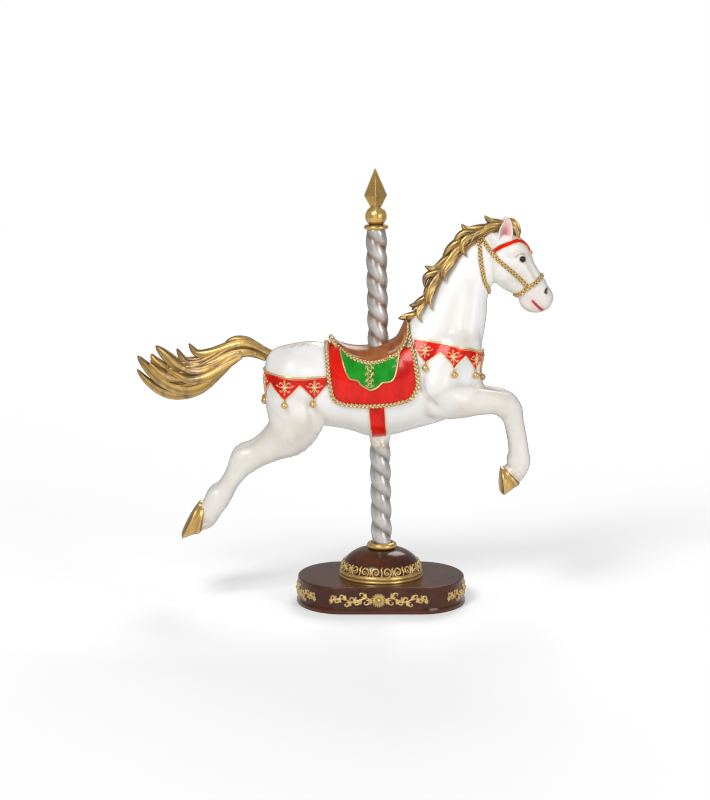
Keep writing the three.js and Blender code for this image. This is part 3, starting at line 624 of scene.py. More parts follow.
def ball(relief, centre, radius, sides=18):
    """A ball, left open by a hair at its two poles for the caps."""
    angle = np.linspace(0.04, np.pi - 0.04, sides // 2 + 1)
    rings = turned(np.stack([np.sin(angle), np.cos(angle)], 1), sides) * radius
    relief.rings(rings + np.array(centre, float))


def turned(profile, sides, centre=(0, 0)):
    """Rings of points round an upright axis, from a profile of radius and height."""
    profile = np.array(profile, float)
    turn = 2 * np.pi * np.arange(sides) / sides
    return np.stack([profile[:, :1] * np.cos(turn) + centre[0], profile[:, :1] * np.sin(turn) + centre[1],
                     profile[:, 1:] * np.ones(sides)], -1)


def arc(centre, reach, start, end, count):
    """Points of a profile on an arc: centre and reach are radius and height, the angles are in degrees."""
    angle = np.radians(np.linspace(start, end, count))
    return np.stack([centre[0] + reach[0] * np.cos(angle), centre[1] + reach[1] * np.sin(angle)], 1)


def turned_ring(relief, profile, sides, recess, centre=(0, 0)):
    """A turned body whose profile closes on itself, with the glaze and painted shade at each point of the
    profile.
    """
    index = np.arange(len(profile) * sides).reshape(-1, sides)
    after = np.roll(index, -1, axis=1)
    quads = np.stack([index, after, np.roll(after, -1, axis=0), np.roll(index, -1, axis=0)], -1)
    relief.add(turned(profile, sides, centre), quads.reshape(-1, 4), recess=np.repeat(recess, sides))


# ------------------------------------------------------------------ materials

def new_material(name, roughness, metallic=0.0, coat=0.0, coat_roughness=0.1, specular=0.5):
    """A material with its own shader, for sockets that are the same all over."""
    material = bpy.data.materials.new(name)
    material.use_nodes = True
    shader = material.node_tree.nodes["Principled BSDF"]
    shader.inputs["Roughness"].default_value = roughness
    shader.inputs["Metallic"].default_value = metallic
    shader.inputs["Coat Weight"].default_value = coat
    shader.inputs["Coat Roughness"].default_value = coat_roughness
    shader.inputs["Specular IOR Level"].default_value = specular
    return material, material.node_tree, shader


def noise(tree, scale, detail=4.0, roughness=0.55, stretch=None):
    """A cloudy value over the surface."""
    place = tree.nodes.new("ShaderNodeTexCoord")
    texture = tree.nodes.new("ShaderNodeTexNoise")
    texture.inputs["Scale"].default_value = scale
    texture.inputs["Detail"].default_value = detail
    texture.inputs["Roughness"].default_value = roughness
    source = place.outputs["Object"]
    if stretch:
        mapping = tree.nodes.new("ShaderNodeMapping")
        mapping.inputs["Scale"].default_value = stretch
        tree.links.new(source, mapping.inputs["Vector"])
        source = mapping.outputs["Vector"]
    tree.links.new(source, texture.inputs["Vector"])
    return texture.outputs["Fac"]


def value_of(tree, name):
    """One of the values kept on the mesh's points."""
    node = tree.nodes.new("ShaderNodeAttribute")
    node.attribute_name = name
    return node.outputs["Fac"]


def pointiness(tree):
    """High on edges and low in corners."""
    return tree.nodes.new("ShaderNodeNewGeometry").outputs["Pointiness"]


def ranged(tree, source, low, high, to_low=0.0, to_high=1.0):
    """A value carried over from one range to another."""
    node = tree.nodes.new("ShaderNodeMapRange")
    for name, value in (("From Min", low), ("From Max", high), ("To Min", to_low), ("To Max", to_high)):
        node.inputs[name].default_value = value
    tree.links.new(source, node.inputs["Value"])
    return node.outputs["Result"]


def combined(tree, how, a, b):
    """Two values joined, kept from 0 to 1."""
    node = tree.nodes.new("ShaderNodeMath")
    node.operation = how
    node.use_clamp = True
    for socket, value in zip(node.inputs, (a, b)):
        if isinstance(value, (int, float)):
            socket.default_value = value
        else:
            tree.links.new(value, socket)
    return node.outputs["Value"]


def mixed(tree, share, first, second):
    """A colour between two, each a colour or a socket."""
    node = tree.nodes.new("ShaderNodeMix")
    node.data_type = "RGBA"
    tree.links.new(share, node.inputs[0])
    for socket, value in ((node.inputs[6], first), (node.inputs[7], second)):
        if isinstance(value, tuple):
            socket.default_value = (*value, 1)
        else:
            tree.links.new(value, socket)
    return node.outputs[2]


def painted(tree, shader, colour, roughness, height, strength, depth):
    """The shader given its colour, its roughness and a bump from `height`, `depth` millimetres high."""
    bump = tree.nodes.new("ShaderNodeBump")
    bump.inputs["Strength"].default_value = strength
    bump.inputs["Distance"].default_value = depth * MM
    tree.links.new(height, bump.inputs["Height"])
    tree.links.new(bump.outputs["Normal"], shader.inputs["Normal"])
    tree.links.new(colour, shader.inputs["Base Color"])
    tree.links.new(roughness, shader.inputs["Roughness"])


GOLD = (0.62, 0.38, 0.1)
# the painted highlight's colour, then the dark brown of old glaze and painted shade
HIGHLIGHT_GOLD = (0.95, 0.8, 0.46)
GOLD_WASH_AND_SHADE = (0.13, 0.05, 0.012)


def coat_material():
    """White glaze, painted beige and near black as shade, with pink lips and ears, and worn gilt at the
    edges.
    """
    material, tree, shader = new_material("white_glaze", 0.3, coat=0.25, coat_roughness=0.25)
    cloud = noise(tree, 16, 3)
    # painted shade: beige where the points are marked as shaded
    painted_shade = combined(tree, "MULTIPLY", value_of(tree, "painted_shade"), ranged(tree, cloud, 0.3, 0.75, 0.45, 1.0))
    colour = mixed(tree, painted_shade, (0.87, 0.865, 0.855), (0.62, 0.555, 0.465))
    colour = mixed(tree, combined(tree, "MULTIPLY", value_of(tree, "pink"), 0.8), colour, (0.86, 0.42, 0.4))
    patchy = ranged(tree, noise(tree, 150, 5, 0.7), 0.47, 0.6)
    smear = combined(tree, "MULTIPLY", value_of(tree, "gilt"), patchy)
    colour = mixed(tree, smear, colour, (0.5, 0.33, 0.17))
    colour = mixed(tree, value_of(tree, "red"), colour, (0.38, 0.01, 0.014))
    # painted shade: near black in the nostril, round the eye and along the lid
    colour = mixed(tree, value_of(tree, "dark"), colour, (0.035, 0.022, 0.02))
    painted(tree, shader, colour, ranged(tree, cloud, 0.3, 0.7, 0.28, 0.42), noise(tree, 60, 3), 0.12, 0.5)
    return material


def gold_material(name, wash_and_shade=1.0, pale=1.0, grey=0.0):
    """Antique gold: painted highlight on ridges, and dark brown in hollows as old glaze and painted shade."""
    material, tree, shader = new_material(name, 0.3, metallic=0.72, coat=0.1, coat_roughness=0.2)
    cloud = noise(tree, 45, 4)
    colour = mixed(tree, ranged(tree, cloud, 0.35, 0.7), GOLD, (0.78, 0.53, 0.18))
    # painted highlight: pale gold on the sharp ridges
    ridge = ranged(tree, pointiness(tree), 0.52, 0.6, 0, 0.8 * pale)
    colour = mixed(tree, ridge, colour, HIGHLIGHT_GOLD)
    # old glaze and painted shade: dark brown in concave places and where the points are marked as recessed
    hollow = combined(tree, "MAXIMUM", ranged(tree, pointiness(tree), 0.49, 0.42, 0, 0.9),
                      combined(tree, "MULTIPLY", value_of(tree, "recess"), wash_and_shade))
    hollow = combined(tree, "MULTIPLY", hollow, ranged(tree, cloud, 0.25, 0.55, 0.7, 1.0))
    if grey:
        dull = ranged(tree, noise(tree, 26, 5, 0.65), 0.5, 0.62, 0, grey)
        colour = mixed(tree, dull, colour, (0.3, 0.22, 0.15))
    colour = mixed(tree, hollow, colour, GOLD_WASH_AND_SHADE)
    painted(tree, shader, colour, ranged(tree, hollow, 0, 1, 0.26, 0.6), noise(tree, 220, 3), 0.18, 0.4)
    return material


def enamel_material(name, colour, deep, roughness=0.2):
    """Brushed gloss enamel, uneven where the brush was lifted."""
    material, tree, shader = new_material(name, roughness, coat=0.12, coat_roughness=0.06, specular=0.22)
    stroke = noise(tree, 26, 4, 0.6, stretch=(1.0, 1.0, 0.45))
    colour = mixed(tree, ranged(tree, stroke, 0.35, 0.68), deep, colour)
    uneven = ranged(tree, stroke, 0.3, 0.7, roughness * 1.4, roughness * 0.7)
    painted(tree, shader, colour, uneven, stroke, 0.35, 0.8)
    return material


def leather_material():
    """Saddle brown, paler on its sharp edges."""
    material, tree, shader = new_material("saddle_paint", 0.28, coat=0.15, coat_roughness=0.12, specular=0.25)
    cloud = noise(tree, 22, 5, 0.6)
    colour = mixed(tree, ranged(tree, cloud, 0.35, 0.7), (0.21, 0.055, 0.014), (0.40, 0.135, 0.035))
    sharp_edges = ranged(tree, pointiness(tree), 0.505, 0.54, 0, 0.6)
    colour = mixed(tree, sharp_edges, colour, (0.55, 0.24, 0.09))
    painted(tree, shader, colour, ranged(tree, cloud, 0.3, 0.7, 0.22, 0.4), noise(tree, 120, 4), 0.15, 0.5)
    return material


def silver_material():
    """Silver paint with painted shade in the flutes, brown glaze in them above, white near the belly, a touch
    of gilt.
    """
    material, tree, shader = new_material("silver_twist", 0.3, metallic=0.6, coat=0.15, coat_roughness=0.2)
    cloud = noise(tree, 30, 4)
    colour = mixed(tree, ranged(tree, cloud, 0.35, 0.7), (0.5, 0.475, 0.455), (0.72, 0.7, 0.68))
    # painted shade: dark grey in the flutes, with brown glaze in them where the points are marked brown
    hollow = combined(tree, "MULTIPLY", value_of(tree, "recess"), ranged(tree, cloud, 0.3, 0.62, 0.45, 1.0))
    brown = combined(tree, "MULTIPLY", hollow, value_of(tree, "brown"))
    colour = mixed(tree, hollow, colour, (0.2, 0.165, 0.135))
    colour = mixed(tree, brown, colour, (0.3, 0.13, 0.07))
    white = combined(tree, "MULTIPLY", value_of(tree, "white"), ranged(tree, cloud, 0.2, 0.5, 0.75, 1.0))
    colour = mixed(tree, white, colour, (0.84, 0.82, 0.79))
    patchy = ranged(tree, noise(tree, 90, 4, 0.7), 0.42, 0.55)
    smear = combined(tree, "MULTIPLY", value_of(tree, "gilt"), patchy)
    colour = mixed(tree, smear, colour, (0.55, 0.36, 0.14))
    tree.links.new(ranged(tree, white, 0, 1, 0.6, 0.0), shader.inputs["Metallic"])
    painted(tree, shader, colour, ranged(tree, cloud, 0.3, 0.7, 0.26, 0.42), noise(tree, 90, 3), 0.15, 0.5)
    return material


def base_material():
    """Dark brown gloss paint with a painted highlight, redder, on its sharp edges."""
    material, tree, shader = new_material("dark_brown_paint", 0.16, coat=0.12, coat_roughness=0.06,
                                          specular=0.3)
    cloud = noise(tree, 14, 5, 0.6)
    colour = mixed(tree, ranged(tree, cloud, 0.35, 0.72), (0.04, 0.009, 0.003), (0.1, 0.025, 0.008))
    # painted highlight: redder brown on the sharp edges
    sharp_edges = ranged(tree, pointiness(tree), 0.51, 0.6, 0, 0.7)
    colour = mixed(tree, sharp_edges, colour, (0.19, 0.065, 0.03))
    speck = ranged(tree, noise(tree, 260, 2), 0.7, 0.76, 0, 0.5)
    colour = mixed(tree, speck, colour, (0.22, 0.13, 0.09))
    painted(tree, shader, colour, ranged(tree, cloud, 0.3, 0.7, 0.12, 0.24), cloud, 0.12, 0.8)
    return material


def eye_material():
    """Near black gloss."""
    material, tree, shader = new_material("eye_gloss", 0.1, coat=0.3, coat_roughness=0.03, specular=0.3)
    cloud = ranged(tree, noise(tree, 60), 0.35, 0.7)
    colour = mixed(tree, cloud, (0.004, 0.003, 0.003), (0.03, 0.012, 0.006))
    tree.links.new(colour, shader.inputs["Base Color"])
    return material


def floor_material():
    """Nearly even white."""
    material, tree, shader = new_material("pale_floor", 0.6)
    colour = mixed(tree, noise(tree, 0.6), (0.95, 0.95, 0.95), (0.98, 0.98, 0.98))
    tree.links.new(colour, shader.inputs["Base Color"])
    return material


WHITE = coat_material()
# pale is the strength of each gold's painted highlight; the piping's is strong enough to read as cream
GILT = gold_material("antique_gold", pale=0.55)
HAIR_GILT = gold_material("hair_gold", pale=1.3, grey=0.85)
BRAID_GILT = gold_material("braid_gold", pale=0.8)
BRIDLE_GILT = gold_material("bridle_gold", pale=0.25)
HOOF_GILT = gold_material("hoof_gold", pale=0.6)
PIPING = gold_material("cream_piping", wash_and_shade=0.7, pale=2.0)
RED = enamel_material("red_enamel", (0.84, 0.014, 0.004), (0.5, 0.003, 0.002))
GREEN = enamel_material("green_enamel", (0.018, 0.36, 0.022), (0.006, 0.19, 0.012), 0.14)
LEATHER = leather_material()
SILVER = silver_material()
BROWN = base_material()
EYE_GLOSS = eye_material()


# ------------------------------------------------------------------ the coat

def latch_side(points):
    """How far a point above the floor lies to the head's side of the plane of the throat latch."""
    (x0, z0), (x1, z1) = THROAT_LATCH[0], THROAT_LATCH[-1]
    length = math.hypot(x1 - x0, z1 - z0)
    side = ((points[:, 0] - x0) * (z0 - z1) + (points[:, 2] - z0) * (x1 - x0)) / length
    return np.where(points[:, 2] > LATCH_FLOOR, side, -FAR)


def by_slabs(field, slab=40000):
    """The same field worked out a slab of points at a time, so that far shapes are passed over."""
    return lambda points: np.concatenate([field(points[i:i + slab]) for i in range(0, len(points), slab)])


def near_segments(points, run):
    """The distance to a line of points."""
    return np.min([capsule(points, run[i], run[i + 1], 0, 0) for i in range(len(run) - 1)], axis=0)


def paint_and_shade_marks(points, crease):
    """Painted shade, beige or near black, and the pink, red and worn gilt of the glaze, from the place on the
    horse.
    """
    x, y, z = points.T
    near = np.stack([x, -np.abs(y), z], 1)
    eye_x, eye_y, eye_z = EYE
    eye = capsule(near, (eye_x, eye_y - 4, eye_z), (eye_x, eye_y - 5, eye_z), 7, 7)
    mouth = near_segments(near, MOUTH)
    nostril = capsule(near, *NOSTRIL)
    lid = near_segments(near * (1, 0, 1), LID_LINE)
    below = np.clip((z - 470) / 120, 0, 1)
    belly = np.clip((x + 330) / 150, 0, 1) * np.clip((330 - x) / 120, 0, 1)
    # painted shade: beige in the creases between forms, under the belly and round the eye
    painted_shade = np.maximum(0.7 * crease ** 1.3 + 0.45 * (1 - below) * belly, fade(eye, 9) * 0.6)
    foot = np.min([capsule(near, *wear) for wear in HOOF_WEAR], axis=0)
    return {
        "painted_shade": np.clip(painted_shade, 0, 1),
        "pink": np.maximum(fade(mouth, 20) * 0.55 + fade(eye, 12) * 0.3, fade(nostril, 9) * 0.35),
        "red": fade(mouth - 3.2, 1.8),
        "gilt": np.maximum(fade(foot, 16), 0.85 * fade(capsule(points, *RUMP_WEAR), 14)),
        # painted shade: near black in the nostril's pit, round the eye's socket and along the lid's crease
        "dark": np.max([fade(nostril - 3, 2), 0.85 * fade(np.abs(eye - 1.2), 2.4), 0.7 * fade(lid, 2.6)], 0),
    }


def coat():
    """The white coat: the body at one spacing and the head at a finer one, parted under the throat latch."""
    body = surface(by_slabs(lambda p: np.maximum(skin(p), latch_side(p) - HEAD_OVERLAP)),
                   *BODY_BOX, COAT_PITCH)
    head = surface(by_slabs(lambda p: np.maximum(skin(p), -latch_side(p) - HEAD_OVERLAP)),
                   *HEAD_BOX, HEAD_PITCH)
    for name, (points, quads), replaces in (("coat", body, ("horse",)), ("head", head, ())):
        _, crease = skin(points, with_creases=True)
        make_piece(name, points, quads.tolist(), WHITE, replaces, paint_and_shade_marks(points, crease))
    count = len(body[0])
    return BVHTree.FromPolygons(np.concatenate([body[0], head[0]]).tolist(),
                                np.concatenate([body[1], head[1] + count]).tolist())


GROUND = coat()


def cast(origins, directions, reach=190.0):
    """Where rays meet the coat, and the outward normals there. A ray that misses takes the point of the coat
    that is nearest to the ray's own point at `reach`."""
    shape = origins.shape
    spots, normals = [], []
    directions = np.broadcast_to(directions, shape).reshape(-1, 3)
    for origin, direction in zip(origins.reshape(-1, 3), directions):
        spot, normal, _, _ = GROUND.ray_cast(Vector(origin), Vector(direction))
        if spot is None:
            spot, normal, _, _ = GROUND.find_nearest(Vector(origin + direction * reach))
        if normal.dot(Vector(direction)) > 0:
            normal = -normal
        spots.append(spot[:])
        normals.append(normal[:])
    return np.array(spots).reshape(shape), np.array(normals).reshape(shape)


def from_side(x, z, side):
    """Where rays from one side meet the coat, at places in the side plane, and the normals there."""
    return cast(np.stack([x, np.full(np.shape(x), side * SIDE_REACH), z], -1), (0, -side, 0))


def on_side(line, side):
    """A line in the side plane laid on one side of the coat: points and softened normals."""
    line = smooth_rows(line, 6)
    x, z = even_rows(line, max(int(length_of(line) / 3), 6)).T
    spots, normals = from_side(x, z, side)
    return spots, unit(soften(normals, 4))


def soft_normals(normals, passes=5):
    """The normals of a grid averaged with their neighbours."""
    for _ in range(passes):
        padded = np.pad(normals, ((1, 1), (1, 1), (0, 0)), mode="edge")
        normals = unit(padded[1:-1, 1:-1] * 2 + padded[:-2, 1:-1] + padded[2:, 1:-1]
                       + padded[1:-1, :-2] + padded[1:-1, 2:])
    return normals


# ------------------------------------------------------------------ harness

def edges_of(rear, front, rises):
    """Where a panel's rear and front edges lie at some heights; its outline runs through its lowest point."""
    outline = smooth_rows(rear[::-1] + front[1:], 8)
    lowest = int(np.argmin(outline[:, 1]))
    rear, front = outline[lowest::-1], outline[lowest:]
    return (np.interp(rises, np.maximum.accumulate(rear[:, 1]), rear[:, 0]),
            np.interp(rises, np.maximum.accumulate(front[:, 1]), front[:, 0]))


def rises_between(low, high, count):
    """Heights that start close together, where the bottom edge of a panel curves."""
    return low + (high - low) * np.linspace(0, 1, count) ** 2


def panel(first, last, rises, columns, side):
    """A grid on one side of the coat, between a rear and a front edge at some heights."""
    x = first[:, None] + (last - first)[:, None] * np.linspace(0, 1, columns)
    return from_side(x, np.broadcast_to(rises[:, None], x.shape), side)


def blanket_grid():
    """A grid on the coat from the blanket's bottom edge on one side, over the back, to that on the other."""
    columns, crown = 56, 26
    rises = rises_between(*BLANKET_HEIGHTS, 54)
    first, last = edges_of(BLANKET_REAR, BLANKET_FRONT, rises)
    near, far = (panel(first, last, rises, columns, side) for side in (-1, 1))
    steps = np.linspace(-1, 1, crown + 2)[1:-1]
    front = WITHERS + (last[-1] - WITHERS) * np.abs(steps) ** 6
    over_x = first[-1] + (front - first[-1])[:, None] * np.linspace(0, 1, columns)
    over = np.stack([over_x, -steps[:, None] * near[0][-1, :, 1], np.full((crown, columns), ABOVE)], -1)
    bridge = cast(over, (0, 0, -1))
    spots = np.concatenate([near[0], bridge[0][::-1], far[0][::-1]])
    return spots, soft_normals(np.concatenate([near[1], bridge[1][::-1], far[1][::-1]]))


def laid(name, grid, proud, material, slot):
    """A plate of one paint on a grid of the coat; its outer face comes back with the normals."""
    spots, normals = grid
    relief = Relief()
    relief.sheet(spots + normals * proud, spots - normals * PLATE_ROOT)
    relief.piece(name, material, slot)
    return spots + normals * proud, normals


def rim_of(top, normals):
    """The line round a saddle grid: up the front edge on one side and back along the rear edge."""
    line = np.concatenate([top[::-1, -1], top[:, 0]])
    out = np.concatenate([normals[::-1, -1], normals[:, 0]])
    return line, out


def saddle_cloths():
    """The red blanket, the green flaps on it, and the gilt braid, beading and scrolls of both."""
    top, normals = laid("blanket", blanket_grid(), BLANKET_PROUD, RED, "red_enamel")
    trim = Relief()
    braid(trim, top[:, 0] + normals[:, 0] * 0.5, normals[:, 0], BRAID_WIDTH, 33)
    for side in (-1, 1):
        spots, out = on_side(BLANKET_FRONT, side)
        braid(trim, soften(spots, 3) + out * (BLANKET_PROUD + 0.5), out, BRAID_WIDTH, 33)
    rises = rises_between(*FLAP_HEIGHTS, 48)
    first, last = edges_of(FLAP_REAR, FLAP_FRONT, rises)
    for side, name in ((-1, "near"), (1, "far")):
        spots, normals = panel(first, last, rises, 44, side)
        top, normals = laid(f"flap_{name}", (spots, soft_normals(normals)), FLAP_PROUD, GREEN, "green_enamel")
        line, out = rim_of(top, normals)
        both = even_rows(np.column_stack([line, out * MM]), 190)
        tube(trim, soften(both[:, :3], 2), unit(soften(both[:, 3:], 3)), 2.1, recess=0.05)
        flap_ornament(trim, side)
    trim.piece("cloth_braid", BRAID_GILT)


def stroke(relief, place, line, wide, deep, sides=8, **values):
    """A raised stroke along a flat line (u, v), laid on a surface by place(u, v) -> points and normals."""
    spots, out = place(line[:, 0], line[:, 1])
    rings, _ = section(spots, out, wide, deep, sides)
    relief.rings(rings, **values)


def dot(relief, place, u, v, radius, lift, sides=10):
    """A ball on a surface at (u, v), its centre `lift` above place's points."""
    spots, out = place(np.array([u, u + 0.1]), np.array([v, v], float))
    ball(relief, spots[0] + out[0] * lift, radius, sides)


def tapered(count, middle, tip=0.35, blunt=0.6):
    """Half widths along a stroke that thins towards both tips."""
    share = np.linspace(0, 1, count)
    return middle * (tip + (1 - tip) * np.sin(np.pi * share) ** blunt)


def moved(line, x=0.0, z=0.0, turn=0.0, flip=1):
    """A flat line turned and moved, then flipped left to right where flip is -1."""
    c, s = math.cos(turn), math.sin(turn)
    out = np.stack([line[:, 0] * c - line[:, 1] * s + x, line[:, 0] * s + line[:, 1] * c + z], 1)
    return out * np.array([flip, 1])


def flap_ornament(relief, side):
    """Pairs of small scrolls, one above another, between the saddle and the flap's lowest lobe."""
    middle = -33

    def place(u, v):
        """Points on the flap: u along the horse from the middle of the flap, v the height."""
        spots, out = from_side(middle + u, v, side)
        out = unit(soften(out, 3))
        return spots + out * (FLAP_PROUD + 0.6), out

    curl = volute(15, 0.5, 9.5)
    for level in (619, 635, 651, 667):
        for flip in (-1, 1):
            stroke(relief, place, moved(curl, 7.4, level, -math.pi / 2, flip), 1.3, 1.3)
        dot(relief, place, 0, level, 2.6, 0.5)
    for level in (611, 627, 643, 659):
        line = np.array([[-6.5, level], [0, level - 1.5], [6.5, level]], float)
        stroke(relief, place, even_rows(line, 8), 1.1, 1.1, 6)


def saddle():
    """The brown seat, dished between a low cantle and a pommel that climbs the foot of the neck."""
    columns, across = 84, 45
    edge = even_rows(smooth_rows(SEAT_EDGE, 6), columns)
    top = even_rows(smooth_rows(SEAT_TOP, 6), columns)
    share = np.linspace(0, 1, columns)
    reach, _ = from_side(edge[:, 0], edge[:, 1], -1)
    limit = np.interp(share, [0, 0.05, 0.14, 0.8, 1], [16, 44, 74, 74, 40])
    reach = np.minimum(-reach[:, 1] + FLAP_PROUD + 3, limit)
    angle = np.linspace(-np.pi / 2, np.pi / 2, across)
    rise = np.cos(angle) ** 0.85
    grid = np.stack([
        edge[None, :, 0] + (top[:, 0] - edge[:, 0])[None] * rise[:, None],
        soften(reach[:, None], 6)[:, 0][None] * np.sin(angle)[:, None],
        edge[None, :, 1] + (top[:, 1] - edge[:, 1])[None] * rise[:, None],
    ], -1)
    normals = unit(np.cross(np.gradient(grid, axis=0), np.gradient(grid, axis=1)))
    if normals[across // 2, columns // 2, 2] < 0:
        normals = -normals
    normals = soft_normals(normals, 3)
    seat = Relief()
    seat.sheet(grid, grid - normals * 7)
    seat.piece("saddle", LEATHER, "saddle_brown")
    line = np.concatenate([grid[0], grid[1:, -1], grid[-1, -2::-1], grid[-2:0:-1, 0]])
    out = np.concatenate([normals[0], normals[1:, -1], normals[-1, -2::-1], normals[-2:0:-1, 0]])
    outwards = np.sign(line[:, 1])[:, None] * (0, 0.8, 0)
    out = unit(out + outwards)
    loop = np.concatenate([line, line[:1]])
    rows = int(length_of(loop) / 3)
    out = unit(soften(even_rows(np.concatenate([out, out[:1]]), rows), 4))
    rim = Relief()
    braid(rim, even_rows(loop, rows), out, 11.5, 32)
    rim.piece("saddle_braid", BRAID_GILT)


def girth():
    """The red strap from the blanket down round the belly, with a fine edging."""
    columns, under_rows = 14, 32
    rises = np.linspace(GIRTH["from"], GIRTH["turn"], 30)
    drop = (GIRTH["from"] - rises) / (GIRTH["from"] - GIRTH["to"])
    first, last = (top + (low - top) * drop for top, low in zip(GIRTH["top"], GIRTH["bottom"]))
    near, far = (panel(first, last, rises, columns, side) for side in (-1, 1))
    low_x = np.broadcast_to(np.linspace(*GIRTH["bottom"], columns), (under_rows, columns))
    steps = np.linspace(-1, 1, under_rows + 2)[1:-1]
    under = np.stack([low_x, steps[:, None] * -near[0][-1, :, 1], np.full(low_x.shape, BELOW)], -1)
    belly = cast(under, (0, 0, 1))
    spots = np.concatenate([near[0], belly[0], far[0][::-1]])
    normals = soft_normals(np.concatenate([near[1], belly[1], far[1][::-1]]), 8)
    top, normals = laid("girth", (spots, normals), GIRTH_PROUD, RED, "red_enamel")
    edging = Relief()
    for column in (0, -1):
        tube(edging, even_rows(top[:, column], 120), unit(even_rows(normals[:, column], 120)), 1.0, 6)
    edging.piece("girth_edging", PIPING)


def band(name, axis, half_turn, top_line, teeth, way, middle_drop, trim, bells):
    """A red band round the chest (way 1) or the haunches (way -1), cut to hanging points with bells."""
    top_x, top_z = np.array(top_line, float).T

    def ring(turns, drops):
        """Points on the coat at plan angles from the band's middle, and at drops below its top edge."""
        facing = np.stack([way * np.cos(turns), -np.sin(turns)], -1)
        x = axis + 90 * facing[..., 0]
        for _ in range(4):
            z = np.interp(x, top_x, top_z) - drops
            origins = np.stack([axis + 260 * facing[..., 0], 260 * facing[..., 1], z], -1)
            inward = np.stack([-facing[..., 0], -facing[..., 1], np.zeros_like(z)], -1)
            spots, normals = cast(origins, inward)
            x = spots[..., 0]
        return spots, normals

    turns = np.linspace(-half_turn, half_turn, 121)
    edge, _ = ring(turns, np.zeros_like(turns))
    run = run_along(edge)
    run -= np.interp(0, turns, run)
    half = slice(60, None)
    order = np.argsort(edge[half, 0])
    places = np.interp([x for x, _ in teeth], edge[half, 0][order], run[half][order])
    pairs = sorted([(0.0, middle_drop), *((float(at), drop) for at, (_, drop) in zip(places, teeth))])
    corners, depths = np.array(pairs, float).T
    even = np.linspace(-corners[-1], corners[-1], 150)
    places = np.unique(np.round(np.concatenate([even, corners, -corners]), 3))
    columns = np.interp(places, run, turns)
    drops = np.interp(np.abs(places), corners, depths)
    share = np.linspace(0, 1, 13)
    spots, normals = ring(np.broadcast_to(columns, (13, len(columns))), share[:, None] * drops)
    top, normals = laid(name, (spots, soft_normals(normals, 4)), BAND_PROUD, RED, "red_enamel")
    tube(trim, top[0], normals[0], 2.7)
    tube(trim, top[0] + np.array([0, 0, -5.0]) + normals[0] * 0.3, normals[0], 0.8, 6, recess=0.05)
    tube(trim, top[-1], normals[-1], 1.3, 6)
    for corner, depth in zip(corners, depths):
        if depth < 40:
            continue
        for side in ((1,) if corner == 0 else (-1, 1)):
            turn = float(np.interp(side * corner, run, turns))
            tip, out = ring(np.array([turn] * 2), np.array([depth, depth + 13.0]))
            bell(bells, tip[1] + out[1] * BELL_RADIUS * 0.8, tip[0] + out[0] * BAND_PROUD)
            middle, facing = ring(np.array([turn] * 2), np.array([depth * 0.46] * 2))
            tooth_ornament(trim, middle[0], facing[0], depth / 60)


def bell(relief, centre, hook):
    """A round bell with a seam about its middle, on a link from the band's point."""
    ball(relief, centre, BELL_RADIUS, 22)
    turn = np.linspace(0, 2 * np.pi, 30)
    seam = np.stack([np.cos(turn), np.sin(turn), np.zeros(30)], 1) * (BELL_RADIUS + 0.2) + centre
    rings, _ = section(seam, unit(seam - centre), 0.9, 0.7, 6)
    relief.rings(rings, recess=0.35)
    link = np.linspace(np.array(hook) + [0, 0, 1], centre + np.array([0, 0, BELL_RADIUS - 1]), 6)
    tube(relief, link, np.tile([0.0, -1.0, 0.02], (6, 1)), 2.0, recess=0.3)


def tooth_ornament(relief, middle, facing, size):
    """A gilt cross of small scrolls with a ball on top, in the wide part of each hanging point."""
    facing = unit(facing)
    along = unit(np.cross(facing, [0, 0, 1.0]))
    rise = np.cross(along, facing)

    def place(u, v):
        """Points on the band about the middle of its hanging point."""
        origins = middle + along * u[:, None] * size + rise * v[:, None] * size + facing * 40
        spots, out = cast(origins, -facing)
        out = unit(soften(out, 3))
        return spots + out * (BAND_PROUD + 0.5), out

    curl = volute(13, 0.5, 9.5, 36)
    arm = np.array([[3, 0], [9, 0.6], [15, 2.0], [20, 4.5]], float)
    for flip in (-1, 1):
        for turn, x, z in ((-2.3, 8.0, 7.0), (-0.85, 7.0, -6.0)):
            stroke(relief, place, moved(curl, x, z, turn, flip), 1.15, 1.2)
        stroke(relief, place, moved(arm, flip=flip), 1.0, 1.1, 6)
    stem = np.stack([np.zeros(12), np.linspace(-17, 14, 12)], 1)
    stroke(relief, place, stem, 1.1, 1.2, 6)
    for u, v, radius in ((0, 16, 3.0), (-20.5, 5, 2.0), (20.5, 5, 2.0), (0, 0, 3.2), (0, -18, 1.9)):
        dot(relief, place, u, v, radius * size, 0.4)


def harness():
    """The breeching round the haunches and the band round the chest, with their gilding and bells."""
    trim, bells = Relief(), Relief()
    band("breech_band", -225, math.radians(131), BREECH_TOP, BREECH_TEETH, -1, 24, trim, bells)
    band("chest_band", 100, math.radians(101), CHEST_TOP, CHEST_TEETH, 1, CHEST_FRONT_DROP, trim, bells)
    trim.piece("band_gilding", PIPING)
    bells.piece("bells", GILT)


def looped(line):
    """A line on the near side, carried over to the far side and closed round the head."""
    near, _ = on_side(line, -1)
    far, _ = on_side(line, 1)
    centre = (near.mean(axis=0) + far.mean(axis=0)) / 2
    gaps = []
    for start, end in ((near[-1], far[-1]), (far[0], near[0])):
        chord = np.linspace(start, end, 14)[1:-1]
        ways = unit((start + end) / 2 - centre) * np.ones((len(chord), 1))
        gaps.append(cast(chord + ways * 16, -ways, 16)[0])
    loop = np.concatenate([near, gaps[0], far[::-1], gaps[1], near[:1]])
    loop = soften(even_rows(loop, int(length_of(loop) / 3)), 3)
    out = np.array([GROUND.find_nearest(Vector(spot))[1][:] for spot in loop])
    return loop, unit(soften(out, 4))


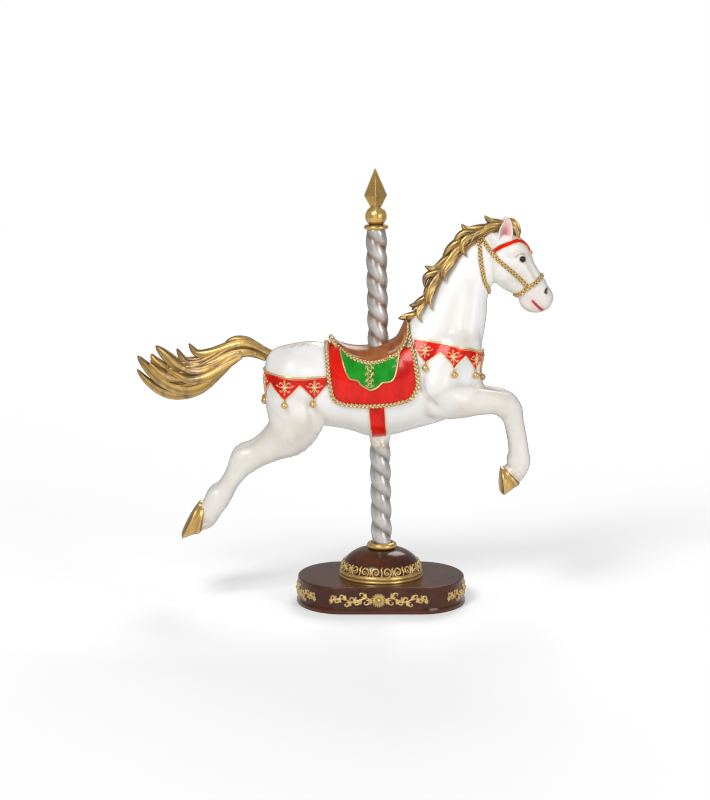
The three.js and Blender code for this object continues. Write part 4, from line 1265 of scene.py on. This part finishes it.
def bridle():
    """The gilt ropes of the bridle with their rosettes, and the red browband with its edging."""
    ropes = Relief()
    for line, width in ((THROAT_LATCH, BRAID_WIDTH), (NOSEBAND, 11.5)):
        loop, out = looped(line)
        braid(ropes, loop + out * 1.2, out, width, 31)
    for side in (-1, 1):
        spots, out = on_side(CHEEK_STRAP, side)
        braid(ropes, spots + out * 1.4, out, BRAID_WIDTH, 31)
        for x, z, radius in ((400, 966, 5.2), (368, 1003, 4.0)):
            hit, out = from_side(np.array([x]), np.array([z]), side)
            ball(ropes, hit[0] + out[0] * 1.5, radius, 16)
    ropes.piece("bridle", BRIDLE_GILT)
    bands, edging = Relief(), Relief()
    for side in (-1, 1):
        spots, out = on_side(BROWBAND, side)
        spots = soften(spots, 3)
        rings, _ = section(spots + out * 1.0, out, 6.0, 2.0, 12, flat=0.6)
        bands.rings(rings)
        across = unit(np.cross(unit(np.gradient(spots, axis=0)), out))
        for way in (-1, 1):
            tube(edging, spots + across * way * 5.8 + out * 1.6, out, 0.8, 6, recess=0.1)
    bands.piece("browband", RED, "red_enamel")
    edging.piece("browband_edging", PIPING)


# ------------------------------------------------------------------ head and feet

def eyes():
    """Two dark balls set in the sockets."""
    balls = Relief()
    for side in (-1, 1):
        ball(balls, (EYE[0], side * EYE[1], EYE[2]), EYE_RADIUS, 26)
    balls.piece("eyes", EYE_GLOSS, "white_gloss")


def ears():
    """Two pricked ears: an almond cup, pink inside, open forwards and to the side."""
    relief = Relief()
    rows, half = 26, 20
    run = even_rows(smooth_rows(EAR_RUN, 6), rows)
    share = np.linspace(0, 1, rows)
    width = 19.5 * np.sin(np.pi * (0.1 + 0.9 * share) ** 0.82) ** 0.6 + 0.4
    turn = np.linspace(-1, 1, half) * np.pi / 2
    back = turn[::-1]
    outer = np.stack([np.sin(turn), -np.cos(turn)], 1)
    inner = np.stack([0.86 * np.sin(back), -0.72 * np.cos(back)], 1)
    outline = np.concatenate([outer, inner])
    pink, red = np.zeros((2, rows, 2 * half))
    pink[:, half:] = np.cos(back) ** 0.5 * np.sin(np.pi * share)[:, None] ** 0.3
    red[:, half:] = 0.75 * np.cos(back) ** 3 * fade(np.abs(share - 0.45), 0.36)[:, None]
    for side in (-1, 1):
        centre = run * np.array([1, -side, 1])
        facing = unit(np.array([0.22, side * 0.97, 0.0]))
        across = np.cross(facing, [0, 0, 1.0])
        rings = (centre[:, None] + across * (width[:, None] * outline[:, 0])[..., None]
                 + facing * (width[:, None] * 0.8 * outline[:, 1])[..., None])
        relief.rings(rings, pink=pink, red=red)
    relief.piece("ears", WHITE, "white_gloss")


def hooves():
    """Four gilt hooves with a rolled coronet, a flared wall and a hollowed sole."""
    relief = Relief()
    turn = 2 * np.pi * np.arange(36) / 36
    share, grow, recess = (np.array(column, float)[:, None] for column in zip(*HOOF_RINGS))
    ahead = np.cos(turn) * grow
    aside = np.sin(turn) * grow * (1 - 0.16 * np.cos(turn))
    for side in (1, -1):
        for (coronet, sole, y), shift in ((HIND_HOOF, HIND_FAR_SHIFT), (FORE_HOOF, FORE_FAR_SHIFT)):
            dx, dz = shift if side < 0 else (0, 0)
            x, z, toe_x, toe_z, wide = (a + (b - a) * share for a, b in zip(coronet, sole))
            rings = np.stack([x + dx + toe_x * ahead, side * y + wide * aside, z + dz + toe_z * ahead], -1)
            relief.rings(rings, recess=recess)
    relief.piece("hooves", HOOF_GILT)


# ------------------------------------------------------------------ hair

def lock(relief, run, root, aside, groove, twist, rows, depth, blunt=3.4):
    """A leaf-like lock of hair with twisted strands, full near its root and drawn out to a curled tip."""
    line = even_rows(smooth_rows(run, 8), rows)
    share = np.linspace(0, 1, rows)
    path = np.stack([line[:, 0], aside[0] + (aside[1] - aside[0]) * share ** 0.8, line[:, 1]], 1)
    swell = (1 - share ** blunt) ** 0.72 * (0.3 + 0.7 * np.sin(np.minimum(share / 0.42, 1) * np.pi / 2))
    wide = np.maximum(root * swell, 0.5)
    outward = np.tile([0.0, -1.0 if sum(aside) <= 0 else 1.0, 0.0], (rows, 1))
    rings, dip = section(path, outward, wide, wide * depth, 30, 5, groove, twist)
    around = np.arange(rings.shape[1]) / rings.shape[1]
    edge = np.abs(np.cos(2 * np.pi * around)) ** 6
    # painted shade in the grooves between strands and along the lock's edges; darker also towards the tip
    relief.rings(rings, recess=np.clip(0.8 * dip + 0.6 * edge + 0.7 * share[:, None] ** 12, 0, 1))


def core(relief, rows, lobes, twist):
    """The body of hair under the locks, grooved along its length."""
    x, z, wide, deep = smooth_rows(rows, 8).T
    path = np.stack([x, np.zeros(len(x)), z], 1)
    outward = np.tile([0.0, -1.0, 0.0], (len(path), 1))
    wide, deep = np.maximum(wide, 1), np.maximum(deep, 1)
    rings, dip = section(path, outward, wide, deep, 5 * lobes, lobes, 0.12, twist)
    # painted shade: the body under the locks darkened all over, more in its grooves
    relief.rings(rings, recess=np.clip(0.35 + dip, 0, 1))


def tail():
    """The gilt tail: a grooved body with its locks on both sides."""
    relief = Relief()
    core(relief, [(x, z, high * 0.86, wide * 0.72) for x, z, high, wide in TAIL], 18, 0.8)
    for run, root, aside in TAIL_LOCKS:
        for side in (1, -1):
            lock(relief, run, root, tuple(side * y for y in aside), 0.17, 0.9, 46, 0.62, 5.5)
    relief.piece("tail", HAIR_GILT)


def mane():
    """The gilt mane: a grooved crest, leaves that stand off it, bunches on both sides, and the forelock."""
    relief = Relief()
    core(relief, MANE, 14, 5.0)
    for run, root, aside in MANE_LEAVES:
        lock(relief, run, root, aside, 0.22, 1.6, 34, 0.75, 4.5)
    for run, root, aside in MANE_BUNCHES:
        placed = [(x - 2, z + 5) for x, z in run]
        for side in (1, -1):
            lock(relief, placed, root * 0.84, tuple(side * y for y in aside), 0.24, 1.8 * side, 34, 0.85)
    for run, root, aside in FORELOCK:
        lock(relief, run, root, aside, 0.25, 1.2, 26, 0.8)
    relief.piece("mane", HAIR_GILT)


# ------------------------------------------------------------------ pole, finial and foot

def on_mast(points):
    """Points measured up the mast, put in the row's frame: the mast leans a little towards the tail."""
    c, s = math.cos(MAST["lean"]), math.sin(MAST["lean"])
    x, y, z = np.moveaxis(points, -1, 0)
    return np.stack([MAST["x"] + x * c - z * s, y, MAST["foot"] + x * s + z * c], -1)


def barley_twist(name, low, high, node, white_from=math.inf, brown=0.0):
    """A length of two-start, left-handed barley twist."""
    sides, rows = 72, int((high - low) / 2.6)
    z = np.linspace(low, high, rows)
    angle = 2 * np.pi * np.arange(sides) / sides
    radius = MAST["waist"] + (MAST["radius"] - MAST["waist"]) * np.abs(np.cos(angle)) ** 1.05
    turn = -2 * np.pi * z / MAST["pitch"]
    rings = np.stack([radius * np.cos(angle + turn[:, None]), radius * np.sin(angle + turn[:, None]),
                      z[:, None] * np.ones(sides)], -1)
    # painted shade in the flutes, less where the white paint covers them
    recess = np.broadcast_to((1 - np.abs(np.cos(angle)) ** 1.05) ** 1.5, (rows, sides))
    white = np.clip((z - white_from) / 14, 0, 1)[:, None]
    gilt = fade(np.abs(z - white_from - 10), 16)[:, None]
    relief = Relief()
    relief.rings(on_mast(rings), recess=recess * (1 - 0.8 * white), white=white, gilt=gilt, brown=brown)
    relief.piece(name, SILVER, "aged_silver", (node,))


def finial():
    """The gilt collar, ball and four-sided spear, with the spear's front arris run down over the ball."""
    relief = Relief()
    tube_radius, radius, middle = FINIAL["collar_tube"], FINIAL["ball"], FINIAL["ball_height"]
    foot = MAST["top"] + 0.3
    rim = FINIAL["collar"] - tube_radius
    profile = np.concatenate([
        [(rim, 0.1)],
        arc((rim, tube_radius + 0.1), (tube_radius, tube_radius), -90, 90, 13),
        arc((0, middle), (radius, radius), -52, 86, 25),
    ])
    # painted shade in the crease between the collar and the ball
    neck = np.exp(-((profile[:, 1] - 13) / 3.5) ** 2)
    relief.rings(on_mast(turned(profile, 64) + [0, 0, foot]), recess=neck[:, None])
    waist, tip, corner = FINIAL["waist"], FINIAL["tip"], FINIAL["corner"]
    rows = [(middle + 8, 8.0), (middle + 22, corner * 0.42), (waist - 3, corner - 1.4), (waist, corner - 0.2),
            (waist + 3, corner - 1.4), (tip - 12, corner * 0.16), (tip - 3, 1.2), (tip - 2.2, 0.4)]
    corners = np.array([(0, -1), (1, 0), (0, 1), (-1, 0), (0, -1)], float)
    plan = np.array([a * (1 - share) + b * share for a, b in zip(corners, corners[1:])
                     for share in (0.0, 0.03, 0.25, 0.5, 0.75, 0.97)])
    spear = [np.column_stack([plan * reach, np.full(len(plan), foot + height)]) for height, reach in rows]
    shade = np.zeros((len(rows), 1))
    shade[2:5] = 0.35
    relief.rings(on_mast(np.array(spear)), recess=shade)
    wedge = []
    for share in np.linspace(0, 1, 12):
        height = middle - 6 + 36 * share
        half = 0.6 + 12 * share
        front = -math.sqrt(max(radius ** 2 - (height - middle) ** 2, 16))
        wedge.append([(-half, front + 3, height), (0, front - 2.2 * share - 0.3, height),
                      (half, front + 3, height), (0, front + 9, height)])
    relief.rings(on_mast(np.array(wedge) + [0, 0, foot]), recess=0.1)
    relief.piece("finial_gilt", GILT, replaces=("finial",))


def foot_collar():
    """The gilt collar at the mast's foot, rounded outside."""
    inner, outer, height = (FOOT_COLLAR[key] for key in ("inner", "outer", "height"))
    low, half = DOME["crown"] + 0.3, height / 2
    bulge = outer - half
    profile = [(inner, low), (bulge - 2, low), *arc((bulge, low + half), (half, half), -90, 90, 17),
               (inner, low + height)]
    # painted shade where the collar sits on the dome and on its inner face
    recess = [0.9 if z < low + 2 or r < inner + 1 else 0.0 for r, z in profile]
    relief = Relief()
    turned_ring(relief, profile, 72, recess, (MAST["x"], 0))
    relief.piece("foot_collar_gilt", GILT, replaces=("foot_collar",))


def dome_radius(z):
    """The dome's radius at a height."""
    share = np.clip((z - DOME["spring"]) / (DOME["crown"] - DOME["spring"]), 0, 1)
    return DOME["top"] + (DOME["base"] - DOME["top"]) * (1 - share ** 2) ** 0.62


def dome():
    """The brown dome."""
    rise = DOME["spring"] + (DOME["crown"] - DOME["spring"]) * np.sin(np.linspace(0, np.pi / 2, 26))
    profile = [(DOME["base"] - 1, DOME["foot"]), (DOME["base"], DOME["foot"] + 1),
               *zip(dome_radius(rise), rise), (DOME["top"] - 6, DOME["crown"])]
    relief = Relief()
    relief.rings(turned(profile, 96))
    relief.piece("dome_turned", BROWN, "dark_brown_gloss", ("dome",))


def gallery():
    """The gilt rim round the dome, and its crest of scrolls leaning on the dome."""
    relief = Relief()
    foot, outer, height = DOME["foot"], RIM["outer"], RIM["height"]
    inner = DOME["base"] + 0.4
    profile = [(inner, foot), (outer - 0.8, foot), (outer, foot + 1), (outer, foot + 5),
               (outer - 1.8, foot + 6.5), *arc((outer - 3.4, foot + 12), (2.6, 5), -90, 90, 9),
               (outer - 2.4, foot + 18), (outer - 2.8, foot + height), (inner, foot + height)]
    recess = np.zeros(len(profile))
    # painted shade where the rim sits on the plinth, in the grooves about its bead, and where it meets the
    # dome
    recess[[0, 1, 4, 5, 13, 16]] = 0.6, 0.2, 0.7, 0.35, 0.5, 0.5
    turned_ring(relief, profile, 120, recess)

    def place(u, v):
        """Points just off the dome: u round its base, v up from its rim."""
        z = foot + height - 1.5 + v
        ring = dome_radius(z)
        turn = u / DOME["base"]
        steep = dome_radius(z + 0.5) - dome_radius(z - 0.5)
        out = unit(np.stack([np.cos(turn), np.sin(turn), -steep], 1))
        return np.stack([ring * np.cos(turn), ring * np.sin(turn), z], 1) + out * 1.3, out

    count = 22
    step = 2 * np.pi * DOME["base"] / count
    turn = np.linspace(-0.6, 1.95, 44) * np.pi
    reach = np.linspace(12.5, 4.5, 44)
    scroll = np.stack([reach * np.cos(turn), 12.5 + reach * np.sin(turn)], 1)
    leaf = even_rows([(0, 3), (1.5, 12), (-1, 19), (2.5, 25)], 12)
    thick = tapered(44, 2.3, 0.6)
    for k in range(count):
        flip = 1 if k % 2 else -1
        stroke(relief, place, moved(scroll, flip=flip) + [k * step, 0], thick, thick, recess=0.05)
        stroke(relief, place, leaf + [(k + 0.5) * step, 0], tapered(12, 2.6, 0.2), 2.0, recess=0.1)
        dot(relief, place, k * step, 12.5, 2.6, 0.3)
        dot(relief, place, (k + 0.5) * step, 4, 2.6, 0.3)
    relief.piece("gallery_scrolls", GILT, replaces=("dome_gallery",))


# ------------------------------------------------------------------ plinth and its garlands

def plinth_outline(grow, steps=48):
    """The plinth's plan, anticlockwise from the front right corner: half ellipses and straight sides."""
    points = []
    for side in (1, -1):
        for angle in np.linspace(-np.pi / 2, np.pi / 2, steps) + (0 if side > 0 else np.pi):
            points.append((side * PLINTH["half_straight"] + (PLINTH["end_reach"] + grow) * math.cos(angle),
                           (PLINTH["half_depth"] + grow) * math.sin(angle)))
        for share in np.linspace(0, 1, 14)[1:-1]:
            points.append((side * PLINTH["half_straight"] * (1 - 2 * share),
                           side * (PLINTH["half_depth"] + grow)))
    return np.array(points)


def plinth():
    """The brown plinth with a small flare at its foot and a rounded upper edge."""
    height, flare, edge = PLINTH["height"], PLINTH["flare"], PLINTH["edge"]
    levels = [(0, flare - 0.8), (0.8, flare), (8, flare), (10, flare - 0.6), (13, 0.8), (16, 0), (30, 0),
              (50, 0)]
    levels += [(z, grow) for grow, z in arc((-edge, height - edge), (edge, edge), 0, 90, 7)]
    levels += [(height, -edge - inset) for inset in (8, 30, 70)]
    rings = []
    for z, grow in levels:
        outline = plinth_outline(grow)
        rings.append(np.column_stack([outline, np.full(len(outline), z)]))
    relief = Relief()
    relief.rings(np.array(rings))
    relief.piece("plinth_body", BROWN, "dark_brown_gloss", ("plinth",))


OUTLINE = plinth_outline(0.3, 80)
OUTLINE_LOOP = np.concatenate([OUTLINE, OUTLINE[:1]])
OUTLINE_RUN = run_along(OUTLINE_LOOP)


def garland(name, middle, node):
    """A sunflower between waving acanthus stems, bent round one side of the plinth."""
    start = OUTLINE_RUN[np.argmin(np.linalg.norm(OUTLINE - np.array(middle), axis=1))]
    half_height = MOULDING["height"]

    def on_outline(at):
        """Points of the plinth's plan at distances round it from the garland's middle."""
        at = (start + at) % OUTLINE_RUN[-1]
        return np.stack([np.interp(at, OUTLINE_RUN, column) for column in OUTLINE_LOOP.T], 1)

    def place(u, v):
        """Points on the plinth's side: u along it, v up from the garland's middle."""
        run = on_outline(u + 1) - on_outline(u - 1)
        out = unit(np.column_stack([run[:, 1], -run[:, 0], np.zeros(len(run))]))
        return np.column_stack([on_outline(u), MOULDING["middle"] + v]) + out * 0.8, out

    def within(line):
        """A line kept within the moulding's height."""
        return np.column_stack([line[:, 0], np.clip(line[:, 1], -half_height, half_height)])

    relief = Relief()
    petals, radius = 18, MOULDING["flower"]
    for ring, (reach, lift) in enumerate(((1.0, 0.0), (0.76, 1.2))):
        share = np.linspace(0.28, reach, 10)[:, None]
        for k in range(petals):
            angle = 2 * np.pi * (k + ring / 2) / petals
            line = share * [math.cos(angle), math.sin(angle)] * radius
            spots, out = place(line[:, 0], line[:, 1])
            rings, _ = section(spots + out * lift, out, tapered(10, 2.6, 0.15, 0.7), 1.6, 8)
            # painted shade: the petals darker towards the flower's middle
            relief.rings(rings, recess=np.linspace(0.6, 0, 10)[:, None])
    dot(relief, place, 0, 0, 6.6, -1.2, 22)
    run = np.linspace(radius * 0.8, MOULDING["reach"] - 13, 60)
    share = (run - run[0]) / (run[-1] - run[0])
    wave = 6.5 * np.sin(share * 3.2 * np.pi) * (1 - 0.25 * share)
    stem = np.stack([run, wave], 1)
    for flip in (-1, 1):
        stroke(relief, place, moved(stem, flip=flip), tapered(60, 2.4, 0.5) * (1 - 0.35 * share), 2.4)
        for k, at in enumerate((0.04, 0.16, 0.29, 0.42, 0.55, 0.68, 0.81, 0.92)):
            x, y = (float(np.interp(at, share, column)) for column in stem.T)
            way = 1 if k % 2 else -1
            size = 22 * (1 - 0.3 * at)
            curl = volute(size, 0.6, 8.0) * np.array([1, -way])
            line = within(moved(curl, x + size * 0.4, y + way * size * 0.32, way * 0.5, flip))
            stroke(relief, place, line, tapered(40, 2.3, 0.45), tapered(40, 2.4, 0.45), recess=0.05)
            for spread in (-0.5, 0.15, 0.8):
                heading = way * (0.7 + spread)
                ray = np.linspace(0, size * 0.66, 9)[:, None] * [math.cos(heading), math.sin(heading)]
                leaf = within(moved(ray, x, y, flip=flip))
                stroke(relief, place, leaf, tapered(9, 2.8, 0.15, 0.8), 2.2, recess=0.1)
            dot(relief, place, flip * (x + size * 0.72), y - way * 6.5, 2.4, 0.5)
        for heading in (-0.8, -0.25, 0.3, 0.85):
            ray = np.linspace(0, 11, 9)[:, None] * [math.cos(heading), math.sin(heading)]
            tip = moved(ray, *stem[-1], flip=flip)
            stroke(relief, place, tip, tapered(9, 2.2, 0.2, 0.8), 1.8)
    relief.piece(name, GILT, replaces=(node,))


# ------------------------------------------------------------------ assembly

saddle_cloths()
saddle()
girth()
harness()
bridle()
eyes()
ears()
hooves()
tail()
mane()
barley_twist("pole_lower_twist", -3, 336, "pole_lower", white_from=286)
barley_twist("pole_upper_twist", 556, MAST["top"], "pole_upper", brown=0.8)
finial()
foot_collar()
dome()
gallery()
plinth()
end_x = PLINTH["half_straight"] + PLINTH["end_reach"] + 0.3
end_y = PLINTH["half_depth"] + 0.3
MIDDLES = {"front": (0, -end_y), "right": (end_x, 0), "back": (0, end_y), "left": (-end_x, 0)}
for side, middle in MIDDLES.items():
    garland(f"garland_{side}", middle, f"scroll_{side}")


# ------------------------------------------------------------------ floor, light and camera

# In metres: name, place, power in watts, and width of each square soft box.
SOFT_BOXES = [
    ("key", (-1.5, -2.4, 3.0), 66, 1.3), ("fill", (2.6, -2.8, 1.5), 40, 1.6),
    ("low", (-0.6, -3.6, 0.5), 16, 2.6), ("back", (0.6, 2.6, 2.6), 34, 1.6),
]
LIT = (0, 0, 0.6)                # the point that they face
FLOOR_REACH = 14.0
EYE_PLACE = (-0.072, -5.4, 1.42)
EYE_DIP = 9.03                   # degrees below the level


def studio():
    """A pale floor that shows only the shadow, a white backdrop, an even sky and soft boxes."""
    floor = bpy.data.meshes.new("floor")
    corners = [(x * FLOOR_REACH, y * FLOOR_REACH, 0) for x, y in ((-1, -1), (1, -1), (1, 1), (-1, 1))]
    floor.from_pydata(corners, [], [(0, 1, 2, 3)])
    floor.materials.append(floor_material())
    ground = bpy.data.objects.new("floor", floor)
    ground.is_shadow_catcher = True
    bpy.context.scene.collection.objects.link(ground)
    world = bpy.data.worlds.new("studio")
    bpy.context.scene.world = world
    world.use_nodes = True
    tree = world.node_tree
    ambient = tree.nodes["Background"]
    ambient.inputs["Color"].default_value = (1.0, 0.985, 0.96, 1)
    ambient.inputs["Strength"].default_value = 0.33
    backdrop = tree.nodes.new("ShaderNodeBackground")
    backdrop.inputs["Color"].default_value = (1.0, 1.0, 1.0, 1)
    backdrop.inputs["Strength"].default_value = 1.0
    seen = tree.nodes.new("ShaderNodeLightPath")
    either = tree.nodes.new("ShaderNodeMixShader")
    tree.links.new(seen.outputs["Is Camera Ray"], either.inputs[0])
    tree.links.new(ambient.outputs[0], either.inputs[1])
    tree.links.new(backdrop.outputs[0], either.inputs[2])
    tree.links.new(either.outputs[0], tree.nodes["World Output"].inputs["Surface"])
    for name, place, energy, size in SOFT_BOXES:
        data = bpy.data.lights.new(name, "AREA")
        data.energy = energy
        data.size = size
        lamp = bpy.data.objects.new(name, data)
        lamp.location = place
        lamp.rotation_euler = (Vector(LIT) - Vector(place)).to_track_quat("-Z", "Y").to_euler()
        bpy.context.scene.collection.objects.link(lamp)


def camera():
    """A long lens before the near side, at a standing person's eye height."""
    data = bpy.data.cameras.new("camera")
    data.lens = 90
    data.sensor_width = 36
    data.clip_end = 60
    eye = bpy.data.objects.new("camera", data)
    eye.location = EYE_PLACE
    eye.rotation_euler = (math.radians(90 - EYE_DIP), 0, 0)
    bpy.context.scene.collection.objects.link(eye)
    bpy.context.scene.camera = eye


studio()
camera()
bpy.context.scene.view_settings.view_transform = "Standard"
